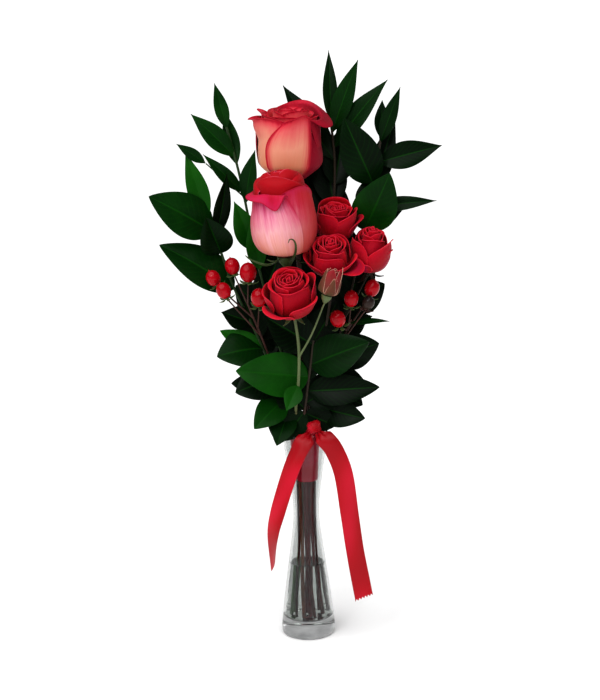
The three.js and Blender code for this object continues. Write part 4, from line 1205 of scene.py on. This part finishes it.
make_foliage(
    name="foliage_left_tall", bark="green_stem", slot=(-3.0, 6.0),
    route=[[-12, 6, 245], [-27, 6, 310], [-42, 8, 375], [-50, 11, 420], [-58, 14, 462], [-68, 16, 502]],
    twigs=[(436, (-88, 6, 469))],
    leaves=[
        leaf(500, (-78, 15, 543), 12, 0.6),
        leaf(474, (-101, 12, 515), 18, 0.65, bend=0.12),
        leaf(466, (-70, 22, 518), 14, 0.6, bend=-0.1),
        leaf(384, (-62, -6, 434), 21, 0.8, bend=0.1),
    ],
    small=[
        leaf(440, (-90, 0, 478), 12, 0.55, bend=0.06),
        leaf((-88, 6, 469), (-115, 4, 488), 10, 0.45, bend=0.06),
        leaf(366, (-46, -8, 420), 17, 0.85),
        leaf(430, (-41, 0, 481), 16, 0.5, face=(-0.5, -1, 0)),
        painted_shade_leaf(325, (-64, 18, 350), 32, 0.15, face=(-0.3, -1, 0.3)),
        *painted_shade_leaves((290, (-62, 22, 300), 36, 0.15)),
        painted_shade_leaf(262, (-50, 20, 246), 36, 0.15, face=(0, -1, 0.3)),
        painted_shade_leaf(240, (-32, 16, 214), 28, 0.15, face=(0, -1, 0.3)),
        *painted_shade_leaves((345, (-16, 26, 392), 32), (280, (-20, 24, 340), 36), (330, (-30, 24, 372), 30),
                (246, (-38, 18, 268), 32), (300, (-44, 22, 330), 32)),
    ],
)
make_foliage(
    name="foliage_left_broad", bark="green_stem", slot=(-7.0, 2.6),
    route=[[-20, 0, 245], [-44, -4, 305], [-66, -4, 355], [-76, 0, 385], [-88, 4, 416]],
    leaves=[
        leaf(415, (-107, 6, 480), 18, 0.85),
        leaf(398, (-68, -2, 460), 15, 0.1, face=(0.5, -1, 0.1)),
        broad_leaf(405, (-141, -14, 441), 38, 0.55, face=(-0.1, -0.9, 0.5)),
        broad_leaf(350, (-134, -4, 394), 38, 0.5, face=(-0.1, -0.7, 0.8)),
        broad_leaf(384, (-88, -16, 420), 28, 0.2, fold=0.6),
        broad_leaf(292, (-82, -20, 288), 38, face=(-0.3, -0.8, 0.5), bend=0.15),
    ],
    small=[
        leaf(318, (-77, -14, 330), 20, 0.1),
        broad_leaf(262, (-66, -10, 250), 32, 0.2, face=(-0.2, -0.9, 0.4)),
        *painted_shade_leaves((300, (-58, 4, 345), 26), (290, (-79, -8, 311), 18, 0.95), (252, (-46, 0, 268), 30),
                (256, (-70, -4, 258), 24), (240, (-28, -8, 200), 26, 0.2)),
    ],
)
make_foliage(
    name="foliage_right_tall", bark="brown_stem", slot=(2.6, 7.2),
    route=[[9, 9, 245], [22, 16, 330], [31, 20, 410], [34, 21, 465], [31, 23, 504]],
    leaves=[
        leaf(503, (30, 30, 571), 12.5, 0.25),
        leaf(494, (57, 12, 562), 18, 0.5, face=(-0.2, -1, 0.2)),
        leaf(480, (84, 6, 543), 21, 0.35, face=(-0.4, -1, 0.5)),
    ],
    small=[
        leaf(468, (-14, 44, 539), 24, 0.2, face=(0.2, -1, 0.2), bend=-0.04),
        painted_shade_leaf(425, (24, 36, 494), 30, 0.05, bend=-0.05),
        painted_shade_leaf(350, (8, 38, 415), 36, 0.05, bend=-0.05),
        *painted_shade_leaves((270, (58, 22, 296), 36, 0.15)),
        painted_shade_leaf(245, (42, 24, 220), 32, 0.15, face=(0, -1, 0.3)),
        painted_shade_leaf(262, (-6, 32, 318), 38, 0.05, face=(0, -1, 0.1)),
        *painted_shade_leaves((445, (44, 34, 500), 28), (360, (46, 30, 402), 30), (320, (28, 34, 374), 36),
                (300, (50, 26, 332), 34), (285, (22, 30, 335), 34), (400, (24, 36, 452), 30),
                (330, (-6, 32, 398), 34), (392, (2, 40, 462), 34), (405, (38, 34, 446), 26)),
    ],
)
make_foliage(
    name="foliage_right_broad", bark="brown_stem", slot=(6.6, 3.6),
    route=[[20, 3, 245], [35, 2, 300], [50, 3, 355], [62, 6, 410], [72, 12, 455], [78, 18, 490]],
    leaves=[
        leaf(466, (135, 10, 481), 23, 0.2, face=(0.1, -1, 0.2)),
        broad_leaf(402, (84, -14, 458), 38, 0.6, face=(0.2, -1, 0.4)),
        broad_leaf(446, (43, 4, 508), 34, 0.2, face=(-0.1, -1, 0.1)),
    ],
    small=[
        leaf(484, (96, 10, 536), 13, 0.35),
        leaf(488, (80, 26, 524), 12, 0.3),
        leaf(424, (129, 0, 430), 13, 0.25, face=(0, -1, 0.4)),
        leaf(436, (93, 34, 507), 20, 0.1, bend=-0.05),
        leaf(410, (99, 12, 422), 18, 0.05, face=(0, -1, 0.3)),
        leaf(312, (67, -8, 322), 17, 0.1),
        painted_shade_leaf(330, (80, 10, 350), 30, face=(0, -1, 0.3)),
        painted_shade_leaf(280, (74, 8, 292), 32, 0.15, face=(0, -1, 0.3)),
        painted_shade_leaf(258, (62, 6, 250), 28, 0.15, face=(0, -1, 0.3)),
        *painted_shade_leaves((254, (57, -2, 233), 26), (268, (42, 8, 304), 32), (244, (38, -2, 212), 24),
                (300, (60, 4, 334), 26), (332, (64, 8, 386), 32), (350, (48, 14, 404), 24),
                (420, (66, 16, 452), 22)),
    ],
)
make_foliage(
    name="foliage_low", bark="brown_stem", slot=(-1.0, -8.0),
    route=[[0, -16, 228], [4, -18, 258], [8, -20, 285], [10, -20, 302]],
    leaves=[
        broad_leaf(266, (-64, -34, 277), 38, 0.75, face=(-0.1, -1, 0.25), bend=0.1),
        broad_leaf(278, (62, -38, 303), 36, 0.4, face=(0.1, -0.9, 0.4), bend=0.1),
        broad_leaf(252, (72, -28, 257), 27, 0.08, face=(0.1, -1, 0.2)),
    ],
    small=[
        painted_shade_leaf(298, (-34, -26, 326), 34, bend=0.03),
        *painted_shade_leaves((300, (34, -14, 338), 28), (272, (30, -12, 314), 30), (240, (44, -12, 264), 32),
                (234, (-26, -12, 262), 30), (230, (30, -14, 216), 24), (232, (-22, -18, 203), 22, 0.2),
                (262, (-2, -10, 306), 28)),
    ],
)

# ---- ribbon

RIBBON_WIDTH, RIBBON_THICKNESS = 18.0, 0.35
BAND_TOP, BAND_BOTTOM = 218.0, 207.0
FLAP_BOTTOM, FLAP_HEADING, FLAP_SPAN, FLAP_SQUARENESS = 160.0, -74.0, 120.0, 4.0
BAND_STANDOFF, BAND_RIPPLE = 1.5, 0.25  # from the outermost stems
KNOT_CENTRE = (9.0, -24.4, 218.0)
KNOT_REACH, KNOT_DEPTH, KNOT_HALF_WIDTH = 7.2, 4.2, 4.4
KNOT_TURNS = [(0.9, 1.0, 0.9), (-0.5, 0.95, -0.5)]  # tilt, size, and place in depth
TAIL_GATHER, TAIL_CUP = 1.6, 1.3  # depths of its small folds at the knot, and of its bow across
TAILS = {
    "ribbon_tail_left": dict(
        route=[[5.4, -25, 211.4], [-1, -30, 205], [-7, -31, 194], [-16, -31, 172], [-27.5, -31, 136],
               [-33, -31, 112], [-33.5, -31, 80]],
        turn=[0, 0.2, 0.5, 0.6, 0.7, 0.95, 1.35], slope=0.9, teeth=0),
    "ribbon_tail_right": dict(
        route=[[12.6, -25, 212.5], [20, -30, 207], [28, -31, 196], [36.5, -31, 172], [42, -31, 130],
               [47, -31, 92], [55, -31, 45]],
        turn=[0, 0, 0, 0, -0.25, -0.3, 0], slope=0.2, teeth=2.2),
}


def make_tail(name, route, turn, slope, teeth):
    """turn: how far it is turned from facing the front, from the knot down; slope: the slant of its cut end;
    teeth: how tall the teeth of a pinked one are."""
    path = catmull(route, 12)
    rows, columns = len(path), 13
    grid = np.zeros((rows, columns, 3))
    for i, (p, t) in enumerate(zip(path, np.gradient(path, axis=0))):
        u = i / (rows - 1)
        angle = np.interp(u * (len(turn) - 1), range(len(turn)), turn)
        across = np.array([math.cos(angle), -math.sin(angle), 0])
        across = unit(across - unit(t) * np.dot(across, unit(t)))
        normal = np.cross(unit(t), across)
        half = RIBBON_WIDTH * (0.2 + 0.3 * float(smooth(0, 0.12, u)))
        for j, v in enumerate(np.linspace(-1, 1, columns)):
            gather = TAIL_GATHER * math.cos(3 * math.pi * v) * (1 - float(smooth(0, 0.2, u)))
            cup = TAIL_CUP * (1 - v * v) * math.sin(3.2 * u + 0.5)
            cut = (slope * v * half + teeth * (j % 2)) * float(smooth(0.7, 1, u)) ** 2
            grid[i, j] = p + across * v * half + normal * (gather + cup) - unit(t) * cut
    build = Builder()
    build.sheet(grid, RIBBON_THICKNESS)
    piece = build.make(f"{name}_satin", "ribbon", [name])


def make_band():
    """The ribbon wound round the stems above the mouth, with a flap hanging inside the neck. Its satin is a
    lighter copy of the tails' one, painted light for where it is seen through the glass.
    """
    rings, rows = 72, 18
    grid = np.zeros((rows, rings, 3))
    for i in range(rings):
        degrees = 360 * i / (rings - 1) - 180
        angle = math.radians(degrees)
        off = (degrees - FLAP_HEADING) / FLAP_SPAN
        drop = math.sqrt(max(0, 1 - abs(off) ** FLAP_SQUARENESS))
        low = BAND_BOTTOM - (BAND_BOTTOM - FLAP_BOTTOM) * drop
        for j in range(rows):
            height = BAND_TOP + (low - BAND_TOP) * j / (rows - 1)
            centre = np.array(bundle_point((0, 0), height))
            edge = bundle_point((BUNDLE_RADIUS, 0), height)[0]
            reach = edge + BAND_STANDOFF + BAND_RIPPLE * math.sin(angle * 9)
            grid[j, i] = centre + [reach * math.cos(angle), reach * math.sin(angle), 0]
    build = Builder()
    build.sheet(grid, RIBBON_THICKNESS)
    piece = build.make("ribbon_band_satin", "ribbon_painted_lighter", ["ribbon_band"])


def make_knot():
    """A tight half knot: two crossing turns of gathered ribbon that close on themselves."""
    build = Builder()
    rows, columns = 48, 17
    for tilt, size, shift in KNOT_TURNS:
        grid = np.zeros((rows, columns, 3))
        for i in range(rows):
            angle = 2 * math.pi * i / (rows - 1)
            for j, v in enumerate(np.linspace(-1, 1, columns)):
                r = (1 - 0.55 * abs(v) ** 3) * (1 + 0.09 * math.cos(5 * math.pi * v + 0.8 * math.sin(angle)))
                x, y = KNOT_REACH * size * r * math.cos(angle), KNOT_DEPTH * size * r * math.sin(angle)
                z = KNOT_HALF_WIDTH * size * v
                turned = (x * math.cos(tilt) - z * math.sin(tilt), y + shift,
                          x * math.sin(tilt) + z * math.cos(tilt))
                grid[i, j] = np.asarray(KNOT_CENTRE) + turned
        build.sheet(grid, RIBBON_THICKNESS)
    piece = build.make("ribbon_knot_satin", "ribbon", ["ribbon_knot"])


# ---- stage

FLOOR_REACH, FLOOR_SHADE = 30, 0.93
SUN_POWER, SUN_SPREAD, SUN_WAY = 2.5, 80, (0.35, 0.62, -1.0)  # spread in degrees
AREA_LIGHTS = {  # place, aim, size in metres, and watts
    "edge": ((0.9, 0.7, 0.9), (0, 0, 0.4), 0.7, 2),
    "spark": ((-0.6, -1.15, 1.15), (0, 0, 0.35), 0.12, 1.6),
}
SKY_LIGHT = 0.38
SKY_EXTRA = {"Is Camera Ray": 0.62, "Is Transmission Ray": 0.5, "Is Glossy Ray": -0.22}


def point_light(light, way):
    light.rotation_euler = Vector(way).to_track_quat("-Z", "Y").to_euler()


def make_lights():
    sun = bpy.data.lights.new("key", "SUN")
    sun.energy = SUN_POWER
    sun.angle = math.radians(SUN_SPREAD)
    point_light(add_object("key", sun), SUN_WAY)
    for name, (place, aim, size, power) in AREA_LIGHTS.items():
        data = bpy.data.lights.new(name, "AREA")
        data.shape = "DISK"
        data.size = size
        data.energy = power
        light = add_object(name, data)
        light.location = place
        point_light(light, Vector(aim) - Vector(place))


def make_sky():
    """A white sky, brighter or darker for some kinds of ray."""
    world = bpy.data.worlds.new("studio")
    bpy.context.scene.world = world
    world.use_nodes = True
    tree = world.node_tree
    sky = tree.nodes["Background"]
    sky.inputs["Color"].default_value = (1, 1, 1, 1)
    path = tree.nodes.new("ShaderNodeLightPath")
    total = None
    for ray, extra in SKY_EXTRA.items():
        share = tree.nodes.new("ShaderNodeMath")
        share.operation = "MULTIPLY_ADD"
        share.inputs[1].default_value = extra
        share.inputs[2].default_value = SKY_LIGHT
        tree.links.new(path.outputs[ray], share.inputs[0])
        if total:
            tree.links.new(total, share.inputs[2])
        total = share.outputs[0]
    tree.links.new(total, sky.inputs["Strength"])


def make_stage():
    mesh = bpy.data.meshes.new("floor")
    corners = [(-FLOOR_REACH, -FLOOR_REACH), (FLOOR_REACH, -FLOOR_REACH), (FLOOR_REACH, FLOOR_REACH),
               (-FLOOR_REACH, FLOOR_REACH)]
    mesh.from_pydata([(x, y, 0) for x, y in corners], [], [(0, 1, 2, 3)])
    floor = add_object("floor", mesh)
    paint = Paint("floor_paper", Roughness=0.95, Base_Color=(FLOOR_SHADE, FLOOR_SHADE, FLOOR_SHADE, 1),
                  Specular_IOR_Level=0.1)
    mesh.materials.append(paint.material)
    make_lights()
    make_sky()
    bpy.context.scene.view_settings.view_transform = "Standard"
    bpy.context.scene.view_settings.look = "Medium High Contrast"


make_band()
make_knot()
for tail_name, tail in TAILS.items():
    make_tail(tail_name, **tail)
make_stage()
